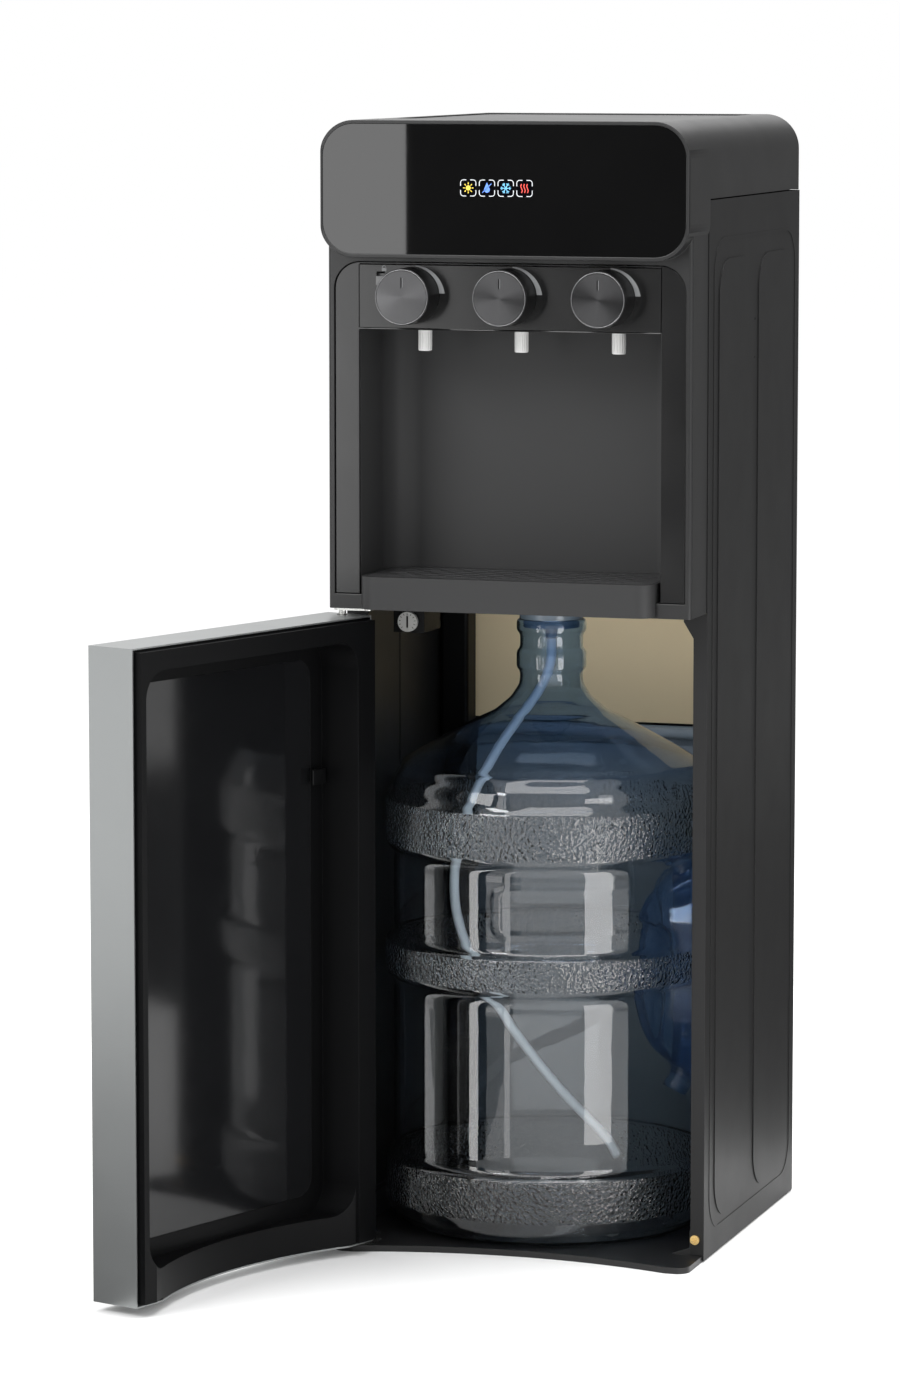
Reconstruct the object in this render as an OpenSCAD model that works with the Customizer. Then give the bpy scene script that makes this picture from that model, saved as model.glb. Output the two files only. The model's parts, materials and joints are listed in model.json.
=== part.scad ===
// Floor-standing bottom-loading water dispenser. Millimetres, +Z up.
// Origin: on the floor, at the centre of the cabinet's footprint. The front faces -Y.

/* [Cabinet] */
// width across the two side panels
body_w = 298; // [296:1:302]
// depth from the fascia plane to the rear flanges
body_d = 336; // [334:1:342]
// overall height to the top cover
body_h = 904; // [900:1:912]
// thickness of the side and rear sheets
sheet = 1; // [0.8:0.1:1.2]
// how far the side panels' front edges sit behind the fascia plane
shell_d = 47; // [46:1:48]
// corner radius of the head and the top cover
head_r = 28; // [24:1:30]

/* [Head and fascia] */
// underside of the fascia
fascia_z = 519; // [518:1:520]
// underside of the head
head_z = 797; // [796:1:799]
// how far the head stands proud of the fascia
head_proud = 16; // [14:1:17]
// how much wider the head is than the cabinet, each side
head_side = 1; // [1:1:4]
// width of the dispensing alcove
alcove_w = 246; // [242:1:248]
// depth of the dispensing alcove behind the fascia plane
alcove_d = 82; // [80:1:84]
// ceiling of the dispensing alcove
alcove_top = 740; // [739:1:744]

/* [Taps] */
// distance between neighbouring taps
tap_pitch = 79.5; // [78:0.5:81]
// height of the knob centres
knob_z = 767; // [766:1:768]
// diameter of the knob face
knob_d = 44; // [42:1:46]
// how far a knob stands out of the control panel
knob_h = 26; // [24:1:28]
// outside diameter of a spout
spout_d = 11.5; // [11:0.5:12]

/* [Door] */
// depth of the door's outer skin
skin_d = 43; // [42:1:44]
// top of the door
door_top = 513; // [512:1:514]
// angle at which the door stands open
door_open = 108.9; // [90:0.1:112]

/* [Bottle] */
// largest radius of the bottle
bottle_r = 135.5; // [134:0.5:135.5]
// wall thickness of the bottle
bottle_wall = 1.6; // [1.4:0.1:2]

/* [Hidden] */
$fn = 72;
tiny = 0.01;
gap = 0.3;                          // clearance between neighbouring pieces
run = 0.05;                         // radial clearance of a running fit

half_w = body_w / 2;
inner_w = half_w - sheet;           // inside face of a side panel
front_y = -body_d / 2;              // fascia plane
rear_y = body_d / 2;
panel_y = front_y + shell_d;        // front edge of the side panels
head_y = front_y - head_proud;      // front of the head
head_w = body_w + 2 * head_side;
seam_z = 842;                       // joint between side panels and top cover
side_z = 1;                         // underside of the side panels

base_t = 5;
base_sag = 22;                      // how far the base's front edge is hollowed
base_cut_r = 395;
base_corner = 10;
pad_r = 15;
pad_h = 2.4;
pad_x = 112;
pad_y = [-90, 128];
rim_h = 25;
rim_t = 2.5;

shell_t = 3;
glass_t = 2.4;
insert_w = 286;
insert_z = [531, 793];
insert_r = 21;
insert_y = front_y + 1.5;           // the insert sits this far back
insert_t = 3;
strip_z = [alcove_top + 1.5, 791];  // control panel
liner_t = 2.5;
liner_r = 25;
alcove_z = 531;                     // top of the alcove's floor
alcove_y = front_y + alcove_d;      // front of the alcove's back wall
liner_y = insert_y + insert_t;      // front edge of the liner

tap_x = [-tap_pitch, 0, tap_pitch];
spout_y = front_y + 35.5;
spout_z = 722;
spout_top = 750;
spout_wall = 2.2;
valve_y = [liner_y + 3, -117];
valve_w = 30;
valve_z = [746, 797];
spindle_r = 4;
spindle_len = 22;
knob_y = insert_y - 0.5 - gap;      // back of a knob
face_r = knob_d / 2 - 1.6;
dial_r = [22.9, 25.5];              // inner and outer radius of a dial scale
dial_shift = [1.9, -1.7];           // the outer circle is moved by this, which tapers the band
lock_x = -tap_pitch - 25.5;
lock_z = knob_z + 8;
lock_w = 6;
lock_h = 7;
lock_travel = 3;

deck_z = fascia_z + 2;
deck_t = 2.5;
back_y = 152;                       // front face of the rear panel
rail_z = 394;                       // top of the lower bay panel

hinge_x = -141;
hinge_y = -156.5;
pin_r = 3;
bracket_t = 2;
skin_y = front_y - 8;               // outer face of the closed door
skin_t = 1.2;
door_x = [-148, 148];
door_z = 7.5;
rim_y = skin_y + skin_d + 6;        // inner face of the closed door's liner
recess_x = [-123, 139];
recess_z = [34, 495];
recess_r = 22;
recess_y = -163.5;                  // floor of the door's recess
ledge = 15;
lip_r = 315;                        // hollow in the door's bottom lip
lip_y = -155.5;

bottle_x = -9.5;
bottle_y = -16;
neck_r = 26.2;
ring_r = 28;
neck_top = 500;
handle_turn = 42;                   // direction of the bottle's handle from +X
handle_z = [112, 296];

// mirrors a part across the cabinet's middle plane
module both_sides() {
  children();
  mirror([1, 0, 0])
    children();
}

// extrudes a front-view outline (x, z) from y0 back to y1
module front_slab(y0, y1) {
  translate([0, y1, 0])
    rotate([90, 0, 0])
      linear_extrude(y1 - y0)
        children();
}

// extrudes a plan outline (x, y) from z0 up to z1
module plan_slab(z0, z1) {
  translate([0, 0, z0])
    linear_extrude(z1 - z0)
      children();
}

// extrudes a side-view outline (y, z) from x0 to x1
module side_slab(x0, x1) {
  translate([x0, 0, 0])
    rotate([90, 0, 90])
      linear_extrude(x1 - x0)
        children();
}

// box between two corners
module block(low, high) {
  translate(low)
    cube(high - low);
}

// rectangle between two corners with rounded corners
module rrect(low, high, r) {
  translate([low[0] + r, low[1]])
    square([high[0] - low[0] - 2 * r, high[1] - low[1]]);
  translate([low[0], low[1] + r])
    square([high[0] - low[0], high[1] - low[1] - 2 * r]);
  for (x = [low[0] + r, high[0] - r], y = [low[1] + r, high[1] - r])
    translate([x, y])
      circle(r);
}

// round-ended slot lying along X, its lower left corner at the origin
module slot(size) {
  r = size[1] / 2;
  translate([r, 0])
    square([size[0] - 2 * r, size[1]]);
  for (x = [r, size[0] - r])
    translate([x, r])
      circle(r, $fn = 24);
}

// cylinder along Y from y0 to y1
module rod_y(x, z, r, y0, y1) {
  translate([x, y1, z])
    rotate([90, 0, 0])
      cylinder(r = r, h = y1 - y0);
}

// cylinder along X from x0 to x1
module rod_x(y, z, r, x0, x1) {
  translate([x0, y, z])
    rotate([0, 90, 0])
      cylinder(r = r, h = x1 - x0);
}

// upright cylinder from z0 to z1
module rod_z(x, y, r, z0, z1) {
  translate([x, y, z0])
    cylinder(r = r, h = z1 - z0);
}

// moves the door's pieces from closed to the stored open position
module door_at_rest() {
  translate([hinge_x, hinge_y, 0])
    rotate([0, 0, -door_open])
      translate([-hinge_x, -hinge_y, 0])
        children();
}

// ---- base ----

module base_outline() {
  difference() {
    rrect([-inner_w + gap, front_y], [inner_w - gap, rear_y - 2 * sheet - gap], base_corner);
    translate([0, front_y + base_sag - base_cut_r])
      circle(base_cut_r, $fn = 180);
  }
}

// ridge that stiffens the base's front corner, a wedge against the rim
module corner_ridge() {
  rim_x = inner_w - gap - rim_t;
  translate([0, panel_y + 6, 0])
    rotate([90, 0, 0])
      linear_extrude(4)
        polygon([[rim_x + 1, base_t - 1], [rim_x - 26, base_t - 1], [rim_x + 1, base_t + 9]]);
}

module base_pan() {
  color("#26282a")
    difference() {
      union() {
        plan_slab(0, base_t)
          base_outline();
        both_sides() {
          block([inner_w - gap - rim_t, panel_y + 2, base_t - 1], [inner_w - gap, back_y - gap, rim_h]);
          block([screw_x - 5, panel_y + sheet + gap, base_t - 1], [inner_w - gap, panel_y + 13, rim_h]);
          corner_ridge();
        }
        block([-inner_w + gap, back_y - gap - rim_t, base_t - 1], [inner_w - gap, back_y - gap, rim_h]);
      }
      for (x = [-pad_x, pad_x], y = pad_y)
        rod_z(x, y, pad_r + gap, -1, pad_h);
      plan_slab(base_t - bracket_t, base_t + 1)
        bracket_outline(gap);
      foot_screw_holes();
    }
}

// outline shared by the two hinge brackets, grown by a clearance
module bracket_outline(grow) {
  rrect([hinge_x - 6 - grow, hinge_y - 7 - grow], [hinge_x + 26 + grow, hinge_y + 22 + grow], 5 + grow);
}

module floor_pads() {
  color("#151515")
    for (x = [-pad_x, pad_x], y = pad_y)
      rod_z(x, y, pad_r, 0, pad_h);
}

// ---- side panels and rear ----

flange_w = 11;
rear_flange_w = 20;
bead_h = 0.8;
frame_y = [-106, 154];
frame_z = [20, 812];
frame_line = 2;
capsule_y = [[-91, 14], [32, 144]];
capsule_z = [28, 795];
capsule_r = 30;
vent_hole_y = 23;
vent_hole_z = [712, 743];
screw_x = inner_w - 6;
screw_z = 18;

// front flange of a side panel, wider at the top where it meets the fascia
module flange_outline() {
  in = half_w - flange_w;
  polygon([[half_w, base_t + gap], [in, base_t + gap], [in, fascia_z - 20], [in - 8, fascia_z - 7],
           [in - 8, fascia_z - gap], [half_w, fascia_z - gap]]);
}

module side_panel() {
  difference() {
    union() {
      block([inner_w, panel_y, side_z], [half_w, rear_y - sheet, seam_z]);
      front_slab(panel_y, panel_y + sheet)
        flange_outline();
      block([half_w - rear_flange_w, rear_y - 2 * sheet, side_z], [half_w, rear_y - sheet, seam_z]);
      side_slab(half_w - tiny, half_w + bead_h)
        for (y = capsule_y)
          rrect([y[0], capsule_z[0]], [y[1], capsule_z[1]], capsule_r);
      side_slab(half_w - tiny, half_w + bead_h / 2)
        difference() {
          rrect([frame_y[0], frame_z[0]], [frame_y[1], frame_z[1]], capsule_r);
          rrect([frame_y[0] + frame_line, frame_z[0] + frame_line],
                [frame_y[1] - frame_line, frame_z[1] - frame_line], capsule_r - frame_line);
        }
    }
    side_slab(inner_w - 1, inner_w + bead_h)
      for (y = capsule_y)
        rrect([y[0] + 1, capsule_z[0] + 1], [y[1] - 1, capsule_z[1] - 1], capsule_r - 1);
    for (z = vent_hole_z)
      rod_x(vent_hole_y, z, 1.2, inner_w - 1, half_w + 1);
    rod_y(screw_x, screw_z, 2.2, panel_y - 1, panel_y + 2);
  }
}

module side_panel_right() {
  color("#3a3b3d")
    side_panel();
}

module side_panel_left() {
  color("#3a3b3d")
    mirror([1, 0, 0])
      side_panel();
}

vent_rows = 6;
vent_cols = 5;
vent_pitch = [44, 16];
vent_slot = [34, 5];
vent_z = 600;
switch_z = 812;
switch_x = [-92, -62];
inlet_z = 812;
inlet_depth = 20;

// round-ended slots in a grid, centred on x, seen from the front
module slot_grid(cols, rows, pitch, slot_size, z0) {
  for (i = [0:cols - 1], j = [0:rows - 1])
    translate([(i - (cols - 1) / 2) * pitch[0] - slot_size[0] / 2, z0 + j * pitch[1]])
      slot(slot_size);
}

module rear_panel() {
  color("#2e2f31")
    difference() {
      block([-inner_w + gap, back_y, side_z + 5], [inner_w - gap, back_y + sheet, seam_z]);
      front_slab(back_y - 1, back_y + 2)
        slot_grid(vent_cols, vent_rows, vent_pitch, vent_slot, vent_z);
      front_slab(back_y - 1, back_y + 2)
        switch_outline(0);
      block([62, back_y - 1, inlet_z - 10], [90, back_y + 2, inlet_z + 10]);
      rod_y(drain_x, drain_z, 9, back_y - 1, back_y + 2);
    }
}

// ---- top cover and front shell ----

cover_in = 1;                       // the cover is narrower than the panels by this, each side
cover_t = 2.5;
cover_recess = 1;

// arch outline of the cover, x across and z up, shrunk by a wall thickness
module cover_outline(shrink) {
  w = half_w - cover_in - shrink;
  r = head_r - shrink;
  difference() {
    rrect([-w, seam_z - 60], [w, body_h - shrink], r);
    translate([-half_w, seam_z - 70])
      square([body_w, 70 + gap]);
  }
}

module top_cover() {
  color("#38393b")
    difference() {
      front_slab(panel_y, rear_y)
        cover_outline(0);
      front_slab(panel_y - 1, rear_y - cover_t)
        translate([0, -tiny])
          cover_outline(cover_t);
      block([-half_w, panel_y - 1, seam_z], [half_w, rear_y - cover_t, seam_z + 1]);
      plan_slab(body_h - cover_recess, body_h + 1)
        rrect([-114, panel_y + 12], [114, rear_y - 16], 12);
      front_slab(rear_y - cover_t - 1, rear_y + 1)
        slot_grid(4, 2, [44, 12], [34, 4], 856);
    }
}

// head outline, shrunk by a border
module head_outline(shrink) {
  rrect([-head_w / 2 + shrink, head_z + shrink], [head_w / 2 - shrink, body_h - shrink], head_r - shrink);
}

glass_border = 3;                   // rim around the glass
head_edge = 3;                      // rounding of the head's upright front edges
fascia_edge = 3;
shell_half = half_w - 0.5;          // half width of the fascia
tile = 13;
tile_pitch = 15.2;
tile_z = 852;
tile_x = -5;

module tile_squares(grow) {
  for (i = [0:3])
    translate([tile_x + (i - 1.5) * tile_pitch, tile_z])
      rrect([-tile / 2 - grow, -tile / 2 - grow], [tile / 2 + grow, tile / 2 + grow], 2.4 + grow);
}

// plan outline between two depths whose front corners are rounded
module front_rounded(half, y0, y1, r) {
  intersection() {
    rrect([-half, y0], [half, y1 + 2 * r], r);
    translate([-half, y0])
      square([2 * half, y1 - y0]);
  }
}

module front_shell() {
  color("#333436")
    difference() {
      union() {
        intersection() {
          front_slab(head_y, panel_y - gap)
            head_outline(0);
          plan_slab(head_z - 1, body_h + 1)
            front_rounded(head_w / 2, head_y, panel_y, head_edge);
        }
        plan_slab(fascia_z, head_z + head_r)
          front_rounded(shell_half, front_y, panel_y - gap, fascia_edge);
      }
      // glass seat
      front_slab(head_y - 1, head_y + glass_t + 0.1)
        head_outline(glass_border - 0.1);
      // hollow behind the head's front wall
      front_slab(head_y + glass_t + shell_t, panel_y)
        head_outline(shell_t);
      // hollow behind the fascia
      front_slab(insert_y + insert_t, panel_y)
        translate([-shell_half + shell_t, fascia_z + shell_t])
          square([2 * (shell_half - shell_t), head_z + 10 - fascia_z - shell_t]);
      // seat and opening for the insert
      front_slab(front_y - 1, insert_y + insert_t + 1)
        insert_outline(gap);
    }
}

module display_glass() {
  color("#0b0c0e")
    difference() {
      front_slab(head_y, head_y + glass_t)
        head_outline(glass_border);
      front_slab(head_y - 1, head_y + 0.7)
        tile_squares(0.1);
    }
}

module indicator_lamps() {
  color("#9fb4d8")
    front_slab(head_y, head_y + 0.6)
      tile_squares(0);
}

// insert outline, shrunk or grown by a border; square at the bottom
module insert_outline(grow) {
  half = insert_w / 2 + grow;
  rrect([-half, insert_z[0] - grow], [half, insert_z[1] + grow], insert_r + grow);
  translate([-half, insert_z[0] - grow])
    square([2 * half, 60]);
}

module fascia_insert() {
  color("#2b2c2e")
    difference() {
      front_slab(insert_y, insert_y + insert_t)
        insert_outline(0);
      block([-alcove_w / 2, insert_y - 1, insert_z[0] - 1], [alcove_w / 2, insert_y + insert_t + 1, alcove_top]);
      block([-alcove_w / 2, insert_y - 1, strip_z[0] - gap],
            [alcove_w / 2, insert_y + insert_t + 1, strip_z[1] + gap]);
    }
}

module control_panel() {
  color("#303133")
    difference() {
      block([-alcove_w / 2 + gap, insert_y - 0.5, strip_z[0]],
            [alcove_w / 2 - gap, insert_y + insert_t, strip_z[1]]);
      for (x = tap_x)
        rod_y(x, knob_z, spindle_r + 1, insert_y - 2, insert_y + insert_t + 1);
      block([lock_x - lock_w / 2 - gap, insert_y - 2, lock_z - gap],
            [lock_x + lock_w / 2 + gap, insert_y + insert_t + 1, lock_z + lock_h + lock_travel + gap]);
    }
}

// crescent between twelve and three o'clock, wider towards three
module dial_arc() {
  intersection() {
    difference() {
      translate(dial_shift)
        circle(dial_r[1]);
      circle(dial_r[0]);
    }
    translate([3, 2])
      square(dial_r[1] + 3);
  }
}

module dial_scales() {
  color("#c9cbcd")
    for (x = tap_x)
      translate([x, 0, knob_z])
        front_slab(insert_y - 0.8, insert_y - 0.5)
          dial_arc();
}

// ---- alcove, tray and taps ----

// plan outline of the alcove from front_edge back, with rounded rear corners
module alcove_outline(front_edge, grow) {
  half = alcove_w / 2 + grow;
  r = liner_r + grow;
  back = alcove_y + grow;
  translate([-half, front_edge])
    square([2 * half, back - r - front_edge]);
  translate([-half + r, front_edge])
    square([2 * (half - r), back - front_edge]);
  for (x = [-half + r, half - r])
    translate([x, back - r])
      circle(r);
}

module alcove_liner() {
  color("#1d1e20")
    difference() {
      plan_slab(alcove_z - liner_t, alcove_top + liner_t)
        alcove_outline(liner_y, liner_t);
      plan_slab(alcove_z, alcove_top)
        alcove_outline(liner_y - 1, 0);
      for (x = tap_x)
        rod_z(x, spout_y, spout_d / 2 + 1, alcove_top - 1, alcove_top + liner_t + 1);
    }
}

module spout(x) {
  color("#eceded")
    difference() {
      rod_z(x, spout_y, spout_d / 2, spout_z, spout_top);
      rod_z(x, spout_y, spout_d / 2 - spout_wall, spout_z - 1, spout_top + 1);
    }
}

module spout_hot() {
  spout(tap_x[0]);
}

module spout_ambient() {
  spout(tap_x[1]);
}

module spout_cold() {
  spout(tap_x[2]);
}

module valve(x) {
  color("#d7d2c4")
    difference() {
      union() {
        block([x - valve_w / 2, valve_y[0], valve_z[0]], [x + valve_w / 2, valve_y[1], valve_z[1]]);
        rod_y(x, valve_z[1] - 14, 5, valve_y[1] - 1, valve_y[1] + 16);
      }
      rod_y(x, knob_z, spindle_r + run, valve_y[0] - 1, valve_y[0] + spindle_len);
      rod_z(x, spout_y, spout_d / 2 + run, valve_z[0] - 1, spout_top + 0.5);
      rod_y(x, valve_z[1] - 14, 3, valve_y[1] - 8, valve_y[1] + 17);
    }
}

module valve_hot() {
  valve(tap_x[0]);
}

module valve_ambient() {
  valve(tap_x[1]);
}

module valve_cold() {
  valve(tap_x[2]);
}

knob_chamfer = 1.2;
face_t = 1;
slot_size = [1.6, 9];

// skirt with a spindle; the profile is turned about the knob's axis
module knob(x) {
  color("#1f2022")
    translate([x, knob_y, knob_z])
      rotate([90, 0, 0]) {
        difference() {
          rotate_extrude()
            polygon([[0, 3], [13, 3], [13, 0], [knob_d / 2 + 0.5, 0], [knob_d / 2, knob_h - knob_chamfer],
                     [knob_d / 2 - knob_chamfer, knob_h], [0, knob_h]]);
          translate([0, 0, knob_h - face_t])
            cylinder(r = face_r + 0.1, h = face_t + 1);
        }
        translate([0, 0, -spindle_len])
          cylinder(r = spindle_r, h = spindle_len + 4);
      }
}

module knob_hot() {
  knob(tap_x[0]);
}

module knob_ambient() {
  knob(tap_x[1]);
}

module knob_cold() {
  knob(tap_x[2]);
}

module knob_face(x) {
  color("#77797c")
    translate([x, knob_y - knob_h, knob_z])
      rotate([90, 0, 0])
        difference() {
          translate([0, 0, -face_t])
            cylinder(r = face_r, h = face_t);
          translate([-slot_size[0] / 2, face_r - slot_size[1] - 5, -0.5])
            cube([slot_size[0], slot_size[1], 1]);
        }
}

module knob_face_hot() {
  knob_face(tap_x[0]);
}

module knob_face_ambient() {
  knob_face(tap_x[1]);
}

module knob_face_cold() {
  knob_face(tap_x[2]);
}

// catch that slides up in its slot; the retaining head is behind the panel
module child_lock() {
  color("#b9bbbd")
    union() {
      translate([lock_x, 0, lock_z]) {
        block([-lock_w / 2, insert_y - 3.5, 0], [lock_w / 2, liner_y + 1, lock_h]);
        block([-lock_w, liner_y + gap, -2], [lock_w, liner_y + 2.2, lock_h + 2]);
      }
    }
}

tray_half = 120;
apron_y = front_y - 14;
apron_z = [520, 546];
apron_r = 13;
pan_y = [front_y - 0.5, alcove_y - 2];
pan_z = [alcove_z + 0.3, 544.5];
pan_t = 2;
grille_t = 1.8;
grille_z = 544.2;

module drip_tray() {
  color("#242527")
    difference() {
      union() {
        plan_slab(apron_z[0], apron_z[1])
          difference() {
            rrect([-tray_half, apron_y], [tray_half, front_y + 30], apron_r);
            translate([-tray_half - 1, front_y - gap])
              square([2 * tray_half + 2, 50]);
          }
        plan_slab(pan_z[0], apron_z[1])
          difference() {
            rrect([-tray_half, front_y - 40], [tray_half, pan_y[1]], liner_r);
            translate([-tray_half - 1, front_y - 50])
              square([2 * tray_half + 2, 50 - gap - tiny]);
          }
      }
      plan_slab(pan_z[0] + pan_t, apron_z[1] + 1)
        rrect([-tray_half + 8, front_y - 4], [tray_half - 8, pan_y[1] - 5], liner_r - 6);
      plan_slab(grille_z - 0.1, apron_z[1] + 1)
        grille_outline(gap);
    }
}

module grille_outline(grow) {
  rrect([-tray_half + 4 - grow, apron_y + 7 - grow], [tray_half - 4 + grow, pan_y[1] - 3 + grow], 10 + grow);
}

grille_cols = 11;
grille_rows = 6;
grille_pitch = [20, 12];
grille_slot = [15, 4];

module drip_grille() {
  color("#2a2b2d")
    plan_slab(grille_z, grille_z + grille_t)
      difference() {
        grille_outline(0);
        for (j = [0:grille_rows - 1], i = [0:grille_cols - 1 - j % 2])
          translate([(i - (grille_cols - 1 - j % 2) / 2) * grille_pitch[0] - grille_slot[0] / 2,
                     apron_y + 17 + j * grille_pitch[1]])
            slot(grille_slot);
      }
}

// ---- bay ----

module mid_deck() {
  color("#8f9294")
    difference() {
      union() {
        block([-inner_w + gap, panel_y + 2, deck_z], [inner_w - gap, back_y - gap, deck_z + deck_t]);
        both_sides()
          block([inner_w - gap - 2, panel_y + 2, deck_z], [inner_w - gap, back_y - gap, deck_z + 16]);
      }
      rod_z(bottle_x, bottle_y, 9, deck_z - 1, deck_z + deck_t + 1);
    }
}

module bay_back_panel() {
  color("#a39377")
    block([-inner_w + gap + 1, back_y - 4, rail_z + 2], [inner_w - gap - 1, back_y - 1, deck_z - gap]);
}

module bay_lower_panel() {
  color("#9fb0bd")
    union() {
      block([-inner_w + gap + rim_t + 1, back_y - 6.2, base_t + 0.2],
            [inner_w - gap - rim_t - 1, back_y - 5, rail_z]);
      rod_x(back_y - 9, rail_z - 6, 5, -inner_w + gap + rim_t + 1, inner_w - gap - rim_t - 1);
    }
}

duct_x = [-144.8, -121];
duct_y = [112, 137];

// channel for pipes and wires in the bay's rear left corner
module pipe_duct() {
  color("#161718")
    difference() {
      plan_slab(base_t + 0.2, deck_z - gap)
        rrect([duct_x[0], duct_y[0]], [duct_x[1], duct_y[1]], 3);
      plan_slab(base_t, deck_z)
        rrect([duct_x[0] + 2, duct_y[0] + 2], [duct_x[1] - 2, duct_y[1] - 2], 1);
    }
}

dock_z = 512;

module intake_dock() {
  color("#1a1a1b")
    translate([bottle_x, bottle_y, 0])
      rotate_extrude()
        polygon([[5, dock_z], [20, dock_z], [22, dock_z + 3], [22, deck_z], [8.7, deck_z], [8.7, deck_z + 14],
                 [5, deck_z + 14]]);
}

thermo_x = -100;
thermo_z = 504;
thermo_y = -112;
thermo_spindle = 2;

module thermostat_housing() {
  color("#151617")
    difference() {
      block([thermo_x - 13, thermo_y, thermo_z - 9], [thermo_x + 13, thermo_y + 42, deck_z]);
      rod_y(thermo_x, thermo_z, thermo_spindle + run, thermo_y - 1, thermo_y + 16);
    }
}

module thermostat_dial() {
  color("#e6e6e4")
    translate([thermo_x, thermo_y - gap, thermo_z])
      rotate([90, 0, 0])
        difference() {
          union() {
            cylinder(r = 8, h = 4);
            translate([0, 0, -14])
              cylinder(r = thermo_spindle, h = 15);
          }
          translate([-0.8, -6, 3.4])
            cube([1.6, 12, 1]);
        }
}

// ---- upper compartment ----

comp_x = 72;
comp_y = 82;
comp_r = 56;
comp_z = [536, 662];
foot_half = 44;

module compressor() {
  color("#1b1c1e")
    difference() {
      union() {
        translate([comp_x, comp_y, 0])
          rotate_extrude()
            polygon([[0, comp_z[0]], [comp_r - 8, comp_z[0]], [comp_r, comp_z[0] + 10], [comp_r, comp_z[1] - 34],
                     [comp_r - 6, comp_z[1] - 18], [comp_r - 22, comp_z[1] - 5], [comp_r - 40, comp_z[1]],
                     [0, comp_z[1]]]);
        plan_slab(comp_z[0] - 2, comp_z[0] + 1)
          translate([comp_x, comp_y])
            rrect([-foot_half - 10, -foot_half - 10], [foot_half + 10, foot_half + 10], 9);
      }
      for (x = [-foot_half, foot_half], y = [-foot_half, foot_half])
        rod_z(comp_x + x, comp_y + y, 5 + gap, comp_z[0] - 3, comp_z[0] + 2);
    }
}

module compressor_grommets() {
  color("#232323")
    for (x = [-foot_half, foot_half], y = [-foot_half, foot_half])
      union() {
        rod_z(comp_x + x, comp_y + y, 8, deck_z + deck_t, comp_z[0] - 2);
        rod_z(comp_x + x, comp_y + y, 5, comp_z[0] - 3, comp_z[0] + 4);
      }
}

hot_x = 75;
hot_y = 60;
hot_r = 45;
hot_z = [690, 832];
tank_wall = 4;

module hot_tank() {
  color("#b9bcc0")
    union() {
      translate([hot_x, hot_y, 0])
        rotate_extrude()
          difference() {
            polygon([[0, hot_z[0]], [hot_r - 6, hot_z[0]], [hot_r, hot_z[0] + 6], [hot_r, hot_z[1] - 6],
                     [hot_r - 6, hot_z[1]], [0, hot_z[1]]]);
            translate([-1, hot_z[0] + tank_wall])
              square([hot_r + 1 - tank_wall, hot_z[1] - hot_z[0] - 2 * tank_wall]);
          }
      rod_z(hot_x, hot_y, 5, hot_z[1] - 1, hot_z[1] + 12);
      rod_y(hot_x, hot_z[0] + 14, 5, hot_y - hot_r - 14, hot_y - hot_r + 4);
    }
}

module heater_band() {
  color("#8a8176")
    plan_slab(hot_z[0] + 34, hot_z[0] + 70)
      translate([hot_x, hot_y])
        difference() {
          circle(hot_r + 3);
          circle(hot_r + run);
        }
}

cold_x = -70;
cold_y = 60;
cold_r = 52;
cold_z = [655, 815];
jacket_t = 17;

module cold_tank() {
  color("#c3c7ca")
    union() {
      translate([cold_x, cold_y, 0])
        rotate_extrude()
          difference() {
            polygon([[0, cold_z[0]], [cold_r - 6, cold_z[0]], [cold_r, cold_z[0] + 6], [cold_r, cold_z[1]],
                     [0, cold_z[1]]]);
            translate([-1, cold_z[0] + tank_wall])
              square([cold_r + 1 - tank_wall, cold_z[1] - cold_z[0] - 2 * tank_wall]);
          }
      rod_z(cold_x, cold_y, 6, cold_z[1] - 1, cold_z[1] + 26);
    }
}

module cold_jacket() {
  color("#e9e6dc")
    translate([cold_x, cold_y, 0])
      rotate_extrude()
        polygon([[cold_r + gap, cold_z[0] - 1], [cold_r + gap, cold_z[1] + 1], [8, cold_z[1] + 1],
                 [8, cold_z[1] + jacket_t], [cold_r + jacket_t, cold_z[1] + jacket_t],
                 [cold_r + jacket_t, cold_z[0] - jacket_t], [0, cold_z[0] - jacket_t], [0, cold_z[0] - 1]]);
}

pump_x = -78;
pump_y = -34;

module pump() {
  color("#4a4d52")
    union() {
      block([pump_x - 34, pump_y - 26, deck_z + deck_t], [pump_x + 34, pump_y + 26, deck_z + deck_t + 3]);
      block([pump_x - 30, pump_y - 22, deck_z + deck_t + 2], [pump_x + 2, pump_y + 22, deck_z + 48]);
      rod_x(pump_y, deck_z + 26, 19, pump_x + 1, pump_x + 50);
      rod_z(pump_x - 20, pump_y, 4, deck_z + 47, deck_z + 66);
      rod_z(pump_x - 6, pump_y, 4, deck_z + 47, deck_z + 66);
    }
}

board_z = [812, 884];
board_y = -160;

module control_board() {
  color("#1f5a3a")
    union() {
      block([-92, board_y, board_z[0]], [92, board_y + 1.6, board_z[1]]);
      block([-80, board_y + 1.5, 822], [-50, board_y + 16, 852]);
      block([-30, board_y + 1.5, 826], [6, board_y + 9, 850]);
      block([30, board_y + 1.5, 822], [70, board_y + 20, 846]);
      for (x = [22, 40, 58])
        rod_y(x, 866, 6, board_y + 1.5, board_y + 18);
    }
}

coil_runs = 6;
coil_pitch = 26;
coil_z = 548;
coil_y = back_y + 8;
coil_half = 104;
coil_r = 2.4;

// half turn that joins two neighbouring runs on the side given by its sign
module coil_bend(z, side) {
  translate([side * coil_half, coil_y, z + coil_pitch / 2])
    rotate([90, 0, 0])
      rotate([0, 0, side > 0 ? -90 : 90])
        rotate_extrude(angle = 180)
          translate([coil_pitch / 2, 0])
            circle(coil_r);
}

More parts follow.
